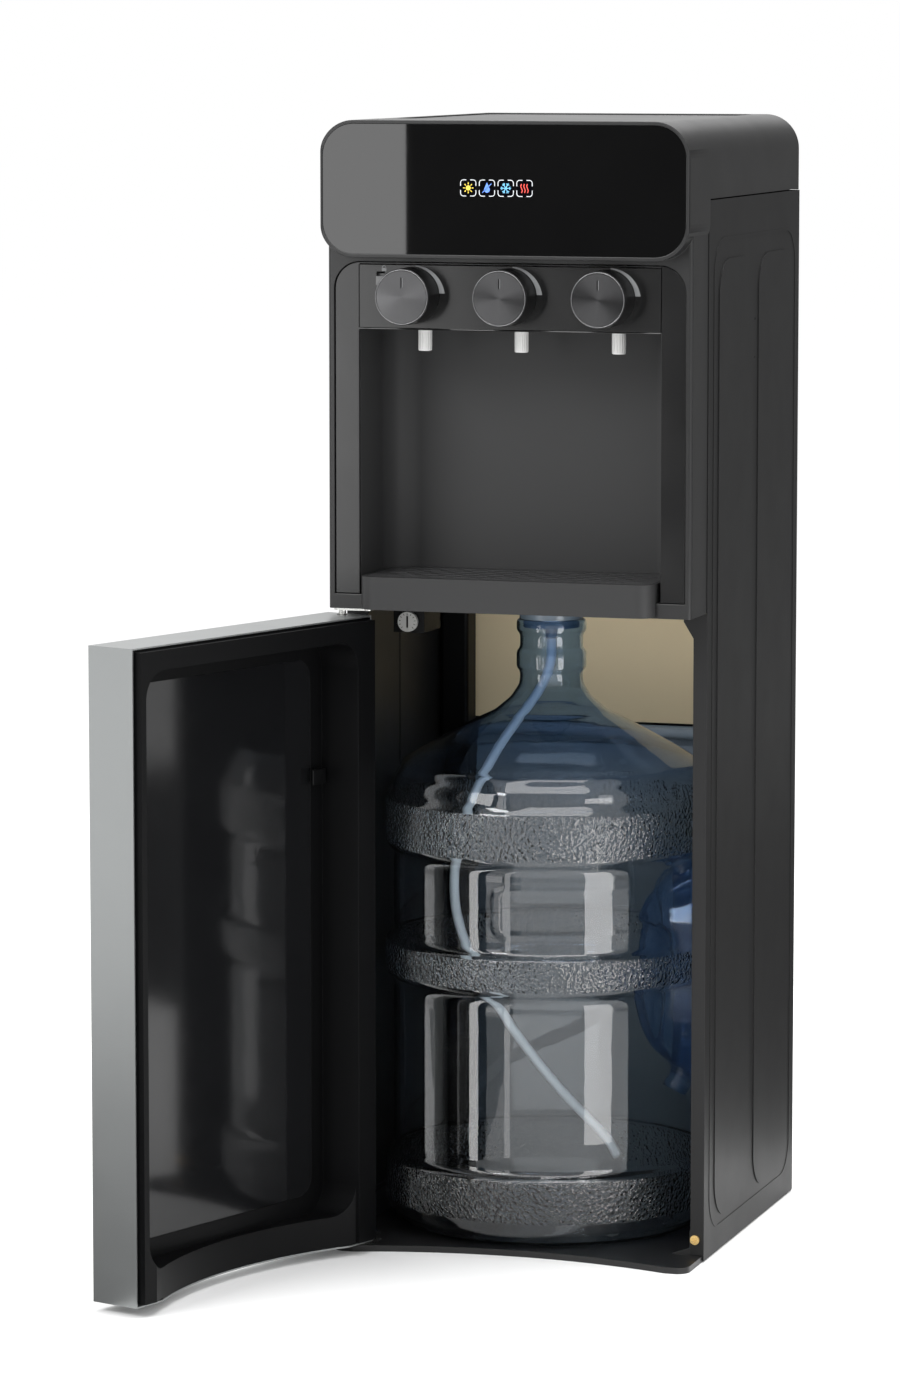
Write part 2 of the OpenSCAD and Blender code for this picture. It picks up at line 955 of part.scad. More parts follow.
module condenser() {
  color("#202123")
    union() {
      for (i = [0:coil_runs - 1])
        rod_x(coil_y, coil_z + i * coil_pitch, coil_r, -coil_half, coil_half);
      for (i = [0:coil_runs - 2])
        coil_bend(coil_z + i * coil_pitch, i % 2 == 0 ? 1 : -1);
      for (x = [-98, 0, 98])
        block([x - 5, back_y + sheet, coil_z - 12],
              [x + 5, coil_y - 1, coil_z + (coil_runs - 1) * coil_pitch + 12]);
    }
}

// ring around the switches' opening, between two growths of its outline
module switch_ring(inner, outer) {
  difference() {
    switch_outline(outer);
    switch_outline(inner);
  }
}

module switch_outline(grow) {
  translate([switch_x[0] - 11 - grow, switch_z - 9 - grow])
    square([switch_x[1] - switch_x[0] + 22 + 2 * grow, 18 + 2 * grow]);
}

module switch_plate() {
  color("#1b1c1d")
    difference() {
      front_slab(back_y - 4, back_y + 3)
        switch_outline(5);
      front_slab(back_y - gap / 2, back_y + sheet + gap / 2)
        switch_ring(-gap, 6);
      for (x = switch_x)
        block([x - 6 - gap, back_y - 5, switch_z - 7], [x + 6 + gap, back_y + 4, switch_z + 7]);
    }
}

// rocker whose two halves tilt from the middle
module rocker(x) {
  side_slab(x - 6, x + 6)
    difference() {
      translate([back_y - 1, switch_z])
        circle(6.6);
      translate([back_y - 20, switch_z - 10])
        square([20 - 1 - 5, 20]);
      translate([back_y + 4.4, switch_z - 10])
        square([20, 20]);
    }
}

module switch_hot() {
  color("#a32020")
    rocker(switch_x[0]);
}

module switch_cold() {
  color("#206b33")
    rocker(switch_x[1]);
}

module power_inlet() {
  color("#171718")
    difference() {
      union() {
        block([56, back_y + sheet, inlet_z - 14], [96, back_y + sheet + 2.5, inlet_z + 14]);
        block([62 + gap, back_y - inlet_depth, inlet_z - 10 + gap],
              [90 - gap, back_y + sheet + 1, inlet_z + 10 - gap]);
      }
      block([65, back_y - inlet_depth + 3, inlet_z - 7], [87, back_y + 10, inlet_z + 7]);
    }
}

drain_x = 75;
drain_z = 712;

module drain_spout() {
  color("#d9d9d6")
    difference() {
      union() {
        rod_y(drain_x, drain_z, 6, hot_y + hot_r + 0.5, back_y + 9);
        rod_y(drain_x, drain_z, 12, back_y - 3, back_y - 0.2);
      }
      rod_y(drain_x, drain_z, 3.5, hot_y + hot_r - 1, back_y + 10);
    }
}

module drain_cap() {
  color("#202020")
    difference() {
      rod_y(drain_x, drain_z, 8.5, back_y + sheet + 0.5, back_y + 12.5);
      rod_y(drain_x, drain_z, 6 + run, back_y, back_y + 9.5);
    }
}

// ---- hinges and screws ----

module hinge_bracket_top() {
  color("#c8cacc")
    union() {
      plan_slab(fascia_z - bracket_t, fascia_z)
        bracket_outline(0);
      rod_z(hinge_x, hinge_y, pin_r, door_top - 18, fascia_z - 1);
    }
}

module hinge_bracket_bottom() {
  color("#c8cacc")
    union() {
      plan_slab(base_t - bracket_t, base_t)
        bracket_outline(0);
      rod_z(hinge_x, hinge_y, pin_r, base_t - 1, door_z + 18);
    }
}

module foot_screw_holes() {
  both_sides()
    rod_y(screw_x, screw_z, 1.6, panel_y, panel_y + 12);
}

module cabinet_screws() {
  color("#c8a24a")
    both_sides()
      difference() {
        union() {
          rod_y(screw_x, screw_z, 3.8, panel_y - 2, panel_y);
          rod_y(screw_x, screw_z, 1.5, panel_y - 1, panel_y + 11);
        }
        block([screw_x - 2.2, panel_y - 3, screw_z - 0.4], [screw_x + 2.2, panel_y - 1.2, screw_z + 0.4]);
        block([screw_x - 0.4, panel_y - 3, screw_z - 2.2], [screw_x + 0.4, panel_y - 1.2, screw_z + 2.2]);
      }
}

// ---- door (written closed, shown open) ----

module door_skin() {
  color("#a9adad")
    door_at_rest()
      difference() {
        block([door_x[0], skin_y, door_z], [door_x[1], skin_y + skin_d, door_top]);
        block([door_x[0] + skin_t, skin_y + skin_t, door_z + skin_t],
              [door_x[1] - skin_t, skin_y + skin_d + 1, door_top - skin_t]);
        pin_bores(pin_r + 1.5);
        lip_hollow(gap);
      }
}

// hollow in the door's bottom edge that lets the bottle's foot by
module lip_hollow(grow) {
  plan_slab(door_z - 1, recess_z[0] + 30)
    intersection() {
      translate([(door_x[0] + door_x[1]) / 2, lip_y + lip_r])
        circle(lip_r + grow, $fn = 180);
      translate([recess_x[0] - grow, lip_y - 1])
        square([recess_x[1] - recess_x[0] + 2 * grow, 40]);
    }
}

module pin_bores(r) {
  rod_z(hinge_x, hinge_y, r, door_z - 1, door_z + 20);
  rod_z(hinge_x, hinge_y, r, door_top - 20, door_top + 1);
}

module door_liner() {
  in = skin_t + gap;
  color("#1c1d1f")
    door_at_rest()
      difference() {
        union() {
          block([door_x[0] + in, recess_y - 4, door_z + in],
                [door_x[1] - in, skin_y + skin_d, door_top - in]);
          block([door_x[0] + 3, recess_y, door_z + 3], [door_x[1] - 3, rim_y, door_top - 3]);
        }
        // recess with a ledge around the glossy panel
        front_slab(recess_y, rim_y + 1)
          rrect([recess_x[0], recess_z[0]], [recess_x[1], recess_z[1]], recess_r);
        front_slab(recess_y - 2, recess_y + 1)
          panel_outline(0.2);
        lip_hollow(0);
        pin_bores(pin_r + run);
        clip_pocket();
      }
}

module panel_outline(grow) {
  rrect([recess_x[0] + ledge - grow, recess_z[0] + ledge - grow],
        [recess_x[1] - ledge + grow, recess_z[1] - ledge + grow], recess_r - 6 + grow);
}

module door_inner_panel() {
  color("#0e0f11")
    door_at_rest()
      front_slab(recess_y - 1.9, recess_y - 0.4)
        panel_outline(0);
}

clip_x = recess_x[0] + 8;
clip_z = 386;

module clip_pocket() {
  translate([clip_x, recess_y, clip_z])
    block([-4 - gap, -2, -6 - gap], [4 + gap, 1, 6 + gap]);
}

module door_clip() {
  color("#3c3d3f")
    door_at_rest()
      union() {
        block([clip_x - 4, recess_y - 1.9, clip_z - 6], [clip_x + 4, recess_y + 2, clip_z + 6]);
        block([clip_x - 4, recess_y + 1, clip_z - 6], [clip_x - 1.5, recess_y + 7, clip_z + 6]);
        block([clip_x - 4, recess_y + 5, clip_z - 6], [clip_x + 12, recess_y + 7, clip_z + 6]);
      }
}

// ---- bottle ----

// outer profile of the bottle as [radius, z], from the foot up
bottle_outer = [
  [112, base_t + 0.05],
  [124, base_t + 4],
  [132, base_t + 12],
  [bottle_r, base_t + 24],
  [bottle_r, 45],
  [bottle_r - 6.5, 52],
  [bottle_r - 6.5, 180],
  [bottle_r, 187],
  [bottle_r, 226],
  [bottle_r - 6, 233],
  [bottle_r - 6, 294],
  [bottle_r, 301],
  [bottle_r, 344],
  [bottle_r - 2, 356],
  [bottle_r - 4, 366],
  [bottle_r - 11, 379],
  [77, 409],
  [46, 425],
  [32, 435],
  [neck_r, 446],
  [neck_r, 457],
  [ring_r, 459],
  [ring_r, 475],
  [neck_r, 477],
  [neck_r, 488],
  [ring_r, 490],
  [ring_r, 498],
  [ring_r - 1, neck_top]
];

foot_z = base_t + 0.05;
dome_z = 16;                        // the floor's centre is pushed up by this

module bottle_outer_shape() {
  polygon(concat([[0, dome_z], [60, dome_z - 3], [96, foot_z]], bottle_outer, [[0, neck_top]]));
}

module bottle_inner_shape() {
  w = bottle_wall;
  last = len(bottle_outer) - 1;
  polygon(concat(
    [[0, dome_z + w], [60, dome_z - 3 + w], [96, foot_z + w], [110, foot_z + w]],
    [for (i = [1:last - 1]) [bottle_outer[i][0] - w, bottle_outer[i][1] + (i < 3 ? w : i > 14 && i < 19 ? -w : 0)]],
    [[ring_r - 1 - 2.4, neck_top + 1], [0, neck_top + 1]]));
}

// the handle's pocket in the bottle's side, grown by a wall thickness
module handle_pocket(grow) {
  rotate([0, 0, handle_turn])
    block([96 - grow, -42 - grow, handle_z[0] - grow], [150, 42 + grow, handle_z[1] + grow]);
}

module bottle() {
  color([0.35, 0.5, 0.75, 0.4])
    translate([bottle_x, bottle_y, 0])
      union() {
        difference() {
          rotate_extrude($fn = 120)
            difference() {
              bottle_outer_shape();
              bottle_inner_shape();
            }
          handle_pocket(0);
        }
        intersection() {
          rotate_extrude($fn = 120)
            bottle_outer_shape();
          union() {
            difference() {
              handle_pocket(bottle_wall);
              handle_pocket(0);
            }
            rotate([0, 0, handle_turn])
              rod_z(bottle_r - 16, 0, 12, handle_z[0] - 1, handle_z[1] + 1);
          }
        }
      }
}

cap_z = [neck_top + 0.1, 507];
stem_z = 484;

module probe_cap() {
  color("#d8dadd")
    translate([bottle_x, bottle_y, 0])
      rotate_extrude()
        polygon([[3.2, stem_z], [5, stem_z], [5, 493], [23, 493], [23, cap_z[0]], [26, cap_z[0]], [26, cap_z[1] - 1],
                 [25, cap_z[1]], [8, cap_z[1]], [8, dock_z - 0.5], [3.2, dock_z - 0.5]]);
}

// route of the suction hose's middle line, from the stem down to the bottle's floor
hose_route = [
  [-9.5, -16, 484], [-10, -16, 466], [-15, -16, 450], [-24, -16, 434], [-36, -16, 418], [-49, -16, 400],
  [-61, -15, 381], [-72, -14, 361], [-81, -13, 340], [-88, -12, 319], [-93, -10, 297], [-95, -8, 275],
  [-94, -5, 253], [-89, -1, 231], [-82, 4, 210], [-73, 8, 191], [-63, 11, 174], [-53, 14, 157],
  [-42, 17, 141], [-30, 20, 125], [-18, 23, 110], [-6, 26, 96], [6, 30, 83], [17, 34, 71], [26, 38, 59], [32, 41, 47]
];
hose_r = 4;
hose_sides = 8;

function unit(v) = v / norm(v);

// direction of the route at point i
function heading(i) =
  let (last = len(hose_route) - 1)
    unit(hose_route[min(i + 1, last)] - hose_route[max(i - 1, 0)]);

// one ring of the hose's skin, square to the route; -Y never lies along the route
function hose_ring(i) =
  let (t = i == 0 ? [0, 0, -1] : heading(i), u = unit(cross(t, [0, 1, 0])), v = cross(t, u))
    [for (k = [0:hose_sides - 1])
      hose_route[i] + hose_r * (cos(360 * k / hose_sides) * u + sin(360 * k / hose_sides) * v)];

module suction_hose() {
  rings = len(hose_route);
  points = [for (i = [0:rings - 1]) each hose_ring(i)];
  sides = [for (i = [0:rings - 2], k = [0:hose_sides - 1])
    let (a = i * hose_sides + k, b = i * hose_sides + (k + 1) % hose_sides)
      [a, b, b + hose_sides, a + hose_sides]];
  first_end = [for (k = [hose_sides - 1:-1:0]) k];
  last_end = [for (k = [0:hose_sides - 1]) (rings - 1) * hose_sides + k];
  color("#e2e6ea")
    polyhedron(points, concat([first_end], sides, [last_end]));
}

// ---- assembly ----

base_pan();
floor_pads();
side_panel_left();
side_panel_right();
rear_panel();
top_cover();
front_shell();
display_glass();
indicator_lamps();
fascia_insert();
control_panel();
dial_scales();
alcove_liner();
spout_hot();
spout_ambient();
spout_cold();
valve_hot();
valve_ambient();
valve_cold();
mid_deck();
bay_back_panel();
bay_lower_panel();
pipe_duct();
intake_dock();
thermostat_housing();
thermostat_dial();
compressor();
compressor_grommets();
hot_tank();
heater_band();
cold_tank();
cold_jacket();
pump();
control_board();
condenser();
switch_plate();
switch_hot();
switch_cold();
power_inlet();
drain_spout();
drain_cap();
hinge_bracket_top();
hinge_bracket_bottom();
cabinet_screws();
knob_hot();
knob_ambient();
knob_cold();
knob_face_hot();
knob_face_ambient();
knob_face_cold();
child_lock();
drip_tray();
drip_grille();
door_skin();
door_liner();
door_inner_panel();
door_clip();
bottle();
probe_cap();
suction_hose();
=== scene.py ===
import json
import math

import bmesh
import bpy
from mathutils import Matrix, Vector, noise

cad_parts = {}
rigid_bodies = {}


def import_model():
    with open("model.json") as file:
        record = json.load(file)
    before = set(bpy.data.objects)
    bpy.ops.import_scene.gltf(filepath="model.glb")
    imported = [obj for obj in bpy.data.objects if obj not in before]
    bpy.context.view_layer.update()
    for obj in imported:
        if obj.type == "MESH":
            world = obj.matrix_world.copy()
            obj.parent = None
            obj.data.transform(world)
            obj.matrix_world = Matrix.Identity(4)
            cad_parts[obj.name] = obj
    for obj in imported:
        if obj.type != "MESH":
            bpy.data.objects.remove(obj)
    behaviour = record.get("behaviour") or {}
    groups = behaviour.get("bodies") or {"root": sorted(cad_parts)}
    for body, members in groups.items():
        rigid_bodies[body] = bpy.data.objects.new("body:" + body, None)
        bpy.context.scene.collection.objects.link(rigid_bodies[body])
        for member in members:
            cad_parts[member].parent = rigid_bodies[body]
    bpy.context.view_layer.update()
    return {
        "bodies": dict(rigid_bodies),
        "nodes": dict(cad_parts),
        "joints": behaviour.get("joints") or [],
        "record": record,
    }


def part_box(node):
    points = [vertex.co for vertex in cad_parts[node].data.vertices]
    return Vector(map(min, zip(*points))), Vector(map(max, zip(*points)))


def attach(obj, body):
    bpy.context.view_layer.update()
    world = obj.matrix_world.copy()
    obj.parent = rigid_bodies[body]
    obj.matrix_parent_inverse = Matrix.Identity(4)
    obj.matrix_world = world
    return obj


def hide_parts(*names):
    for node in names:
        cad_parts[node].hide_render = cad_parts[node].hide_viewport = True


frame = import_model()
NODES = frame["nodes"]
MM = 0.001


# ---- camera ----

CAMERA_AT = Vector((1.2672, -4.3132, 0.9831))
CAMERA_YAW = math.radians(17.6)      # turned towards -X from looking along +Y
CAMERA_PITCH = math.radians(7.0)     # tipped down
LENS = 142.9
SENSOR = 36.0


def add_camera():
    """The camera stands to the right of the front and looks slightly down."""
    data = bpy.data.cameras.new("camera")
    data.lens = LENS
    data.sensor_width = SENSOR
    camera = bpy.data.objects.new("camera", data)
    bpy.context.scene.collection.objects.link(camera)
    level = math.cos(CAMERA_PITCH)
    towards = Vector((-math.sin(CAMERA_YAW) * level, math.cos(CAMERA_YAW) * level, -math.sin(CAMERA_PITCH)))
    camera.location = CAMERA_AT
    camera.rotation_euler = towards.to_track_quat("-Z", "Y").to_euler()
    bpy.context.scene.camera = camera


add_camera()


# ---- mesh helpers ----

def on_circle(radius, turn):
    """The point at the given turn on a circle about the origin."""
    return radius * math.cos(turn), radius * math.sin(turn)


def add_object(name, data, body):
    """Links a new piece and lets it ride on a CAD body."""
    piece = bpy.data.objects.new(name, data)
    bpy.context.scene.collection.objects.link(piece)
    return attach(piece, body)


def mesh_piece(name, verts, faces, body, smooth=True):
    """A mesh piece from vertices and faces in metres."""
    mesh = bpy.data.meshes.new(name)
    mesh.from_pydata(verts, [], faces)
    mesh.validate()
    if smooth:
        mesh.shade_smooth()
    else:
        mesh.shade_flat()
    return add_object(name, mesh, body)


def lathe(name, rings, segments, body, origin=(0, 0, 0), wobble=None, closed=False):
    """Turns (radius, height) rings about an upright axis; wobble(angle, radius, height) moves the radius."""
    verts = []
    for r, z in rings:
        for k in range(segments):
            angle = 2 * math.pi * k / segments
            at = r if wobble is None else wobble(angle, r, z)
            verts.append((origin[0] + at * math.cos(angle), origin[1] + at * math.sin(angle), origin[2] + z))
    faces = []
    for i in range(len(rings) if closed else len(rings) - 1):
        for k in range(segments):
            n = (k + 1) % segments
            a, b = i * segments, (i + 1) % len(rings) * segments
            faces.append((a + k, a + n, b + n, b + k))
    return mesh_piece(name, verts, faces, body)


def tube(name, points, radius, body, sides=16, bore=0.0):
    """A round tube along points: with a bore its ends are open, without one they are closed."""
    side = (points[1] - points[0]).orthogonal()
    frames = []
    for i, p in enumerate(points):
        along = (points[min(i + 1, len(points) - 1)] - points[max(i - 1, 0)]).normalized()
        side = (side - along * side.dot(along)).normalized()
        frames.append((p, side, along.cross(side)))
    walls = [(frame, radius) for frame in frames]
    if bore:
        walls += [(frame, bore) for frame in reversed(frames)]
    verts = []
    for (p, across, up), reach in walls:
        for k in range(sides):
            turn = 2 * math.pi * k / sides
            verts.append(p + (across * math.cos(turn) + up * math.sin(turn)) * reach)
    joined = len(walls) if bore else len(walls) - 1
    faces = []
    for i in range(joined):
        a, b = i * sides, (i + 1) % len(walls) * sides
        faces += [(a + k, a + (k + 1) % sides, b + (k + 1) % sides, b + k) for k in range(sides)]
    if not bore:
        faces += [tuple(reversed(range(sides))), tuple(range((len(walls) - 1) * sides, len(walls) * sides))]
    return mesh_piece(name, verts, faces, body)


def through(points, steps):
    """A smooth line through the points, with the given number of steps between neighbours."""
    ends = [2 * points[0] - points[1], *points, 2 * points[-1] - points[-2]]
    line = []
    for i in range(1, len(ends) - 2):
        a, b, c, d = ends[i - 1:i + 3]
        for k in range(steps):
            t = k / steps
            line.append(0.5 * (2 * b + (c - a) * t + (2 * a - 5 * b + 4 * c - d) * t * t
                               + (3 * b - a - 3 * c + d) * t ** 3))
    return [*line, points[-1]]


# ---- the suction hose, the one cord ----

HOSE_ROUTE = [Vector(p) * MM for p in (
    (-9.5, -16, 484), (-10, -16, 466), (-15, -16, 450), (-24, -16, 434), (-36, -16, 418), (-49, -16, 400),
    (-61, -15, 381), (-72, -14, 361), (-81, -13, 340), (-88, -12, 319), (-93, -10, 297), (-95, -8, 275),
    (-94, -5, 253), (-89, -1, 231), (-82, 4, 210), (-73, 8, 191), (-63, 11, 174), (-53, 14, 157),
    (-42, 17, 141), (-30, 20, 125), (-18, 23, 110), (-6, 26, 96), (6, 30, 83), (17, 34, 71), (26, 38, 59),
    (32, 41, 47))]
HOSE_R = 4 * MM
HOSE_BORE = 2.8 * MM
HOSE_STEPS = 4


def add_hose():
    """The translucent hose from the probe's stem to the bottle's floor."""
    line = through(HOSE_ROUTE, HOSE_STEPS)
    hose = tube("hose", line, HOSE_R, "bottle_body", bore=HOSE_BORE)
    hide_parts("suction_hose")
    return hose


hose = add_hose()


# ---- materials ----

MIX_A, MIX_B, MIX_RESULT = 6, 7, 2       # the colour sockets of a Mix node
NOISE_LOW, NOISE_HIGH = 0.3, 0.7         # what most of a noise's values lie between


class Look:
    """A Principled material, with helpers that add detail at its real size."""

    def __init__(self, name, color, roughness, **sockets):
        self.material = bpy.data.materials.new(name)
        self.material.use_nodes = True
        self.tree = self.material.node_tree
        self.shader = self.tree.nodes["Principled BSDF"]
        self.color = color
        self.roughness = roughness
        self.normal = None
        self.shader.inputs["Base Color"].default_value = (*color, 1)
        self.shader.inputs["Roughness"].default_value = roughness
        for socket, value in sockets.items():
            self.shader.inputs[socket.replace("_", " ")].default_value = value

    def node(self, kind, **values):
        made = self.tree.nodes.new(kind)
        for socket, value in values.items():
            made.inputs[socket.replace("_", " ")].default_value = value
        return made

    def link(self, source, target):
        self.tree.links.new(source, target)

    def place(self, stretch=(1, 1, 1)):
        """Object coordinates in metres, stretched along the axes."""
        where = self.node("ShaderNodeTexCoord")
        scaled = self.node("ShaderNodeMapping")
        scaled.inputs["Scale"].default_value = stretch
        self.link(where.outputs["Object"], scaled.inputs["Vector"])
        return scaled.outputs["Vector"]

    def noise(self, size, stretch=(1, 1, 1), detail=3.0):
        """Noise with features of the given size in metres."""
        made = self.node("ShaderNodeTexNoise", Scale=1 / size, Detail=detail)
        self.link(self.place(stretch), made.inputs["Vector"])
        return made.outputs["Fac"]

    def pebbles(self, size):
        """Cells of the given size in metres, for leathery mouldings."""
        made = self.node("ShaderNodeTexVoronoi", Scale=1 / size)
        made.feature = "SMOOTH_F1"
        self.link(self.place(), made.inputs["Vector"])
        return made.outputs["Distance"]

    def bump(self, height, depth, strength=1.0):
        """Adds a relief of the given depth in metres over what is there already."""
        made = self.node("ShaderNodeBump", Distance=depth, Strength=strength)
        self.link(height, made.inputs["Height"])
        if self.normal is not None:
            self.link(self.normal, made.inputs["Normal"])
        self.normal = made.outputs["Normal"]
        self.link(self.normal, self.shader.inputs["Normal"])
        return self

    def ramp(self, factor, low, high):
        """Maps the middle of a noise's range to low..high."""
        made = self.node("ShaderNodeMapRange", From_Min=NOISE_LOW, From_Max=NOISE_HIGH,
                         To_Min=low, To_Max=high)
        self.link(factor, made.inputs["Value"])
        return made.outputs["Result"]

    def vary_roughness(self, factor, spread):
        low = max(0.0, self.roughness - spread)
        self.link(self.ramp(factor, low, min(1.0, self.roughness + spread)), self.shader.inputs["Roughness"])
        return self

    def mix_color(self, share, other):
        """Drives the base colour towards another one by a share from 0 to 1."""
        made = self.node("ShaderNodeMix")
        made.data_type = "RGBA"
        made.inputs[MIX_A].default_value = (*self.color, 1)
        made.inputs[MIX_B].default_value = (*other, 1)
        self.link(share, made.inputs["Factor"])
        self.link(made.outputs[MIX_RESULT], self.shader.inputs["Base Color"])
        return self

    def vary_color(self, factor, other):
        """Mixes the base colour with another colour where the factor is high."""
        return self.mix_color(self.ramp(factor, 0.0, 1.0), other)

    def by_height(self, low_z, high_z, top_color):
        """Changes the base colour towards another one between two heights."""
        where = self.node("ShaderNodeTexCoord")
        split = self.node("ShaderNodeSeparateXYZ")
        self.link(where.outputs["Object"], split.inputs["Vector"])
        rise = self.node("ShaderNodeMapRange", From_Min=low_z, From_Max=high_z)
        rise.interpolation_type = "SMOOTHSTEP"
        self.link(split.outputs["Z"], rise.inputs["Value"])
        return self.mix_color(rise.outputs["Result"], top_color)


def moulded(name, color, roughness, grain=0.5 * MM, depth=0.03 * MM, **sockets):
    """Injection-moulded plastic: a fine spark-eroded grain and faint flow marks."""
    look = Look(name, color, roughness, **sockets)
    look.bump(look.noise(grain, detail=2.0), depth, 0.6)
    look.vary_roughness(look.noise(60 * MM), 0.02)
    lighter = tuple(min(1.0, c * 1.05) for c in color)
    return look.vary_color(look.noise(140 * MM), lighter)


def coated(name, color, roughness, **sockets):
    """Powder-coated sheet: orange peel over a smooth surface and faint rub marks."""
    look = Look(name, color, roughness, **sockets)
    look.bump(look.noise(1.6 * MM, detail=1.0), 0.05 * MM, 0.7)
    look.vary_roughness(look.noise(45 * MM), 0.02)
    lighter = tuple(min(1.0, c * 1.05) for c in color)
    return look.vary_color(look.noise(220 * MM), lighter)


def brushed(name, color, roughness, along="x"):
    """Metal with hairlines along one axis."""
    stretch = {"x": (0.02, 1, 1), "z": (1, 1, 0.02)}[along]
    look = Look(name, color, roughness, Metallic=1.0)
    lines = look.noise(0.35 * MM, stretch, detail=4.0)
    look.bump(lines, 0.02 * MM, 0.5)
    look.vary_roughness(lines, 0.08)
    return look.vary_color(look.noise(50 * MM), tuple(c * 0.86 for c in color))


GROOVES_PER_METRE = 450


def spun_metal(name, centre):
    """Dark turned metal: fine grooves in circles about the Y axis through the centre."""
    look = Look(name, (0.085, 0.085, 0.087), 0.2, Metallic=1.0, Anisotropic=0.92)
    where = look.node("ShaderNodeTexCoord")
    from_centre = look.node("ShaderNodeVectorMath")
    from_centre.operation = "SUBTRACT"
    from_centre.inputs[1].default_value = centre
    look.link(where.outputs["Object"], from_centre.inputs[0])
    around = look.node("ShaderNodeVectorMath")
    around.operation = "CROSS_PRODUCT"
    around.inputs[1].default_value = (0, 1, 0)
    look.link(from_centre.outputs["Vector"], around.inputs[0])
    along = look.node("ShaderNodeVectorMath")
    along.operation = "NORMALIZE"
    look.link(around.outputs["Vector"], along.inputs[0])
    look.link(along.outputs["Vector"], look.shader.inputs["Tangent"])
    grooves = look.node("ShaderNodeTexWave", Scale=GROOVES_PER_METRE)
    grooves.wave_type = "RINGS"
    grooves.rings_direction = "Y"
    look.link(from_centre.outputs["Vector"], grooves.inputs["Vector"])
    look.bump(grooves.outputs["Fac"], 0.01 * MM, 0.25)
    look.vary_roughness(grooves.outputs["Fac"], 0.03)
    return look.vary_color(grooves.outputs["Fac"], (0.066, 0.066, 0.068))


def rubber(name, color):
    """Matt rubber with a fine grain."""
    look = Look(name, color, 0.75, Specular_IOR_Level=0.3)
    look.bump(look.noise(0.8 * MM), 0.06 * MM, 0.7)
    look.vary_roughness(look.noise(12 * MM), 0.1)
    return look.vary_color(look.noise(30 * MM), tuple(c * 1.6 for c in color))


def glowing(name, color, strength):
    """Printed symbol lit from behind."""
    look = Look(name, color, 0.35, Emission_Strength=strength)
    look.shader.inputs["Emission Color"].default_value = (*color, 1)
    look.vary_roughness(look.noise(2 * MM), 0.05)
    return look.vary_color(look.noise(3 * MM), tuple(c * 0.8 for c in color))


CLEAR_GREY = (0.84, 0.87, 0.89)
TINT_BLUE = (0.52, 0.66, 0.84)
TINT_Z = (0.352, 0.405)              # the bottle turns blue between these heights
PLASTIC_IOR = 1.45


def bottle_plastic():
    """Clear plastic with a grey cast, blue in the neck and shoulder."""
    look = Look("bottle_plastic", CLEAR_GREY, 0.02, Transmission_Weight=1.0, IOR=PLASTIC_IOR)
    look.bump(look.noise(30 * MM, detail=2.0), 0.5 * MM, 0.3)
    return look.by_height(*TINT_Z, TINT_BLUE)


def pebbled_plastic():
    """The bottle's bands: the same plastic under a pebbled surface."""
    look = Look("pebbled_plastic", CLEAR_GREY, 0.05, Transmission_Weight=1.0, IOR=PLASTIC_IOR)
    look.bump(look.pebbles(2.4 * MM), 1.3 * MM, 1.0)
    return look.bump(look.noise(1.6 * MM, detail=2.0), 0.4 * MM, 0.8)


def blue_plastic():
    """The bottle's handle, where the plastic is thick and blue."""
    look = Look("blue_plastic", (0.34, 0.52, 0.80), 0.04, Transmission_Weight=0.9, IOR=PLASTIC_IOR)
    look.bump(look.noise(18 * MM, detail=2.0), 0.4 * MM, 0.3)
    return look.vary_color(look.noise(25 * MM), (0.28, 0.45, 0.74))


def gloss_panel(name, color, roughness):
    """High-gloss moulding or glass, a little uneven in its polish and colour."""
    look = Look(name, color, roughness)
    look.vary_roughness(look.noise(18 * MM), roughness * 0.1)
    return look.vary_color(look.noise(90 * MM), tuple(c * 1.2 for c in color))


DARK = {"Specular_IOR_Level": 0.18}  # for surfaces that reflect the pale room only weakly

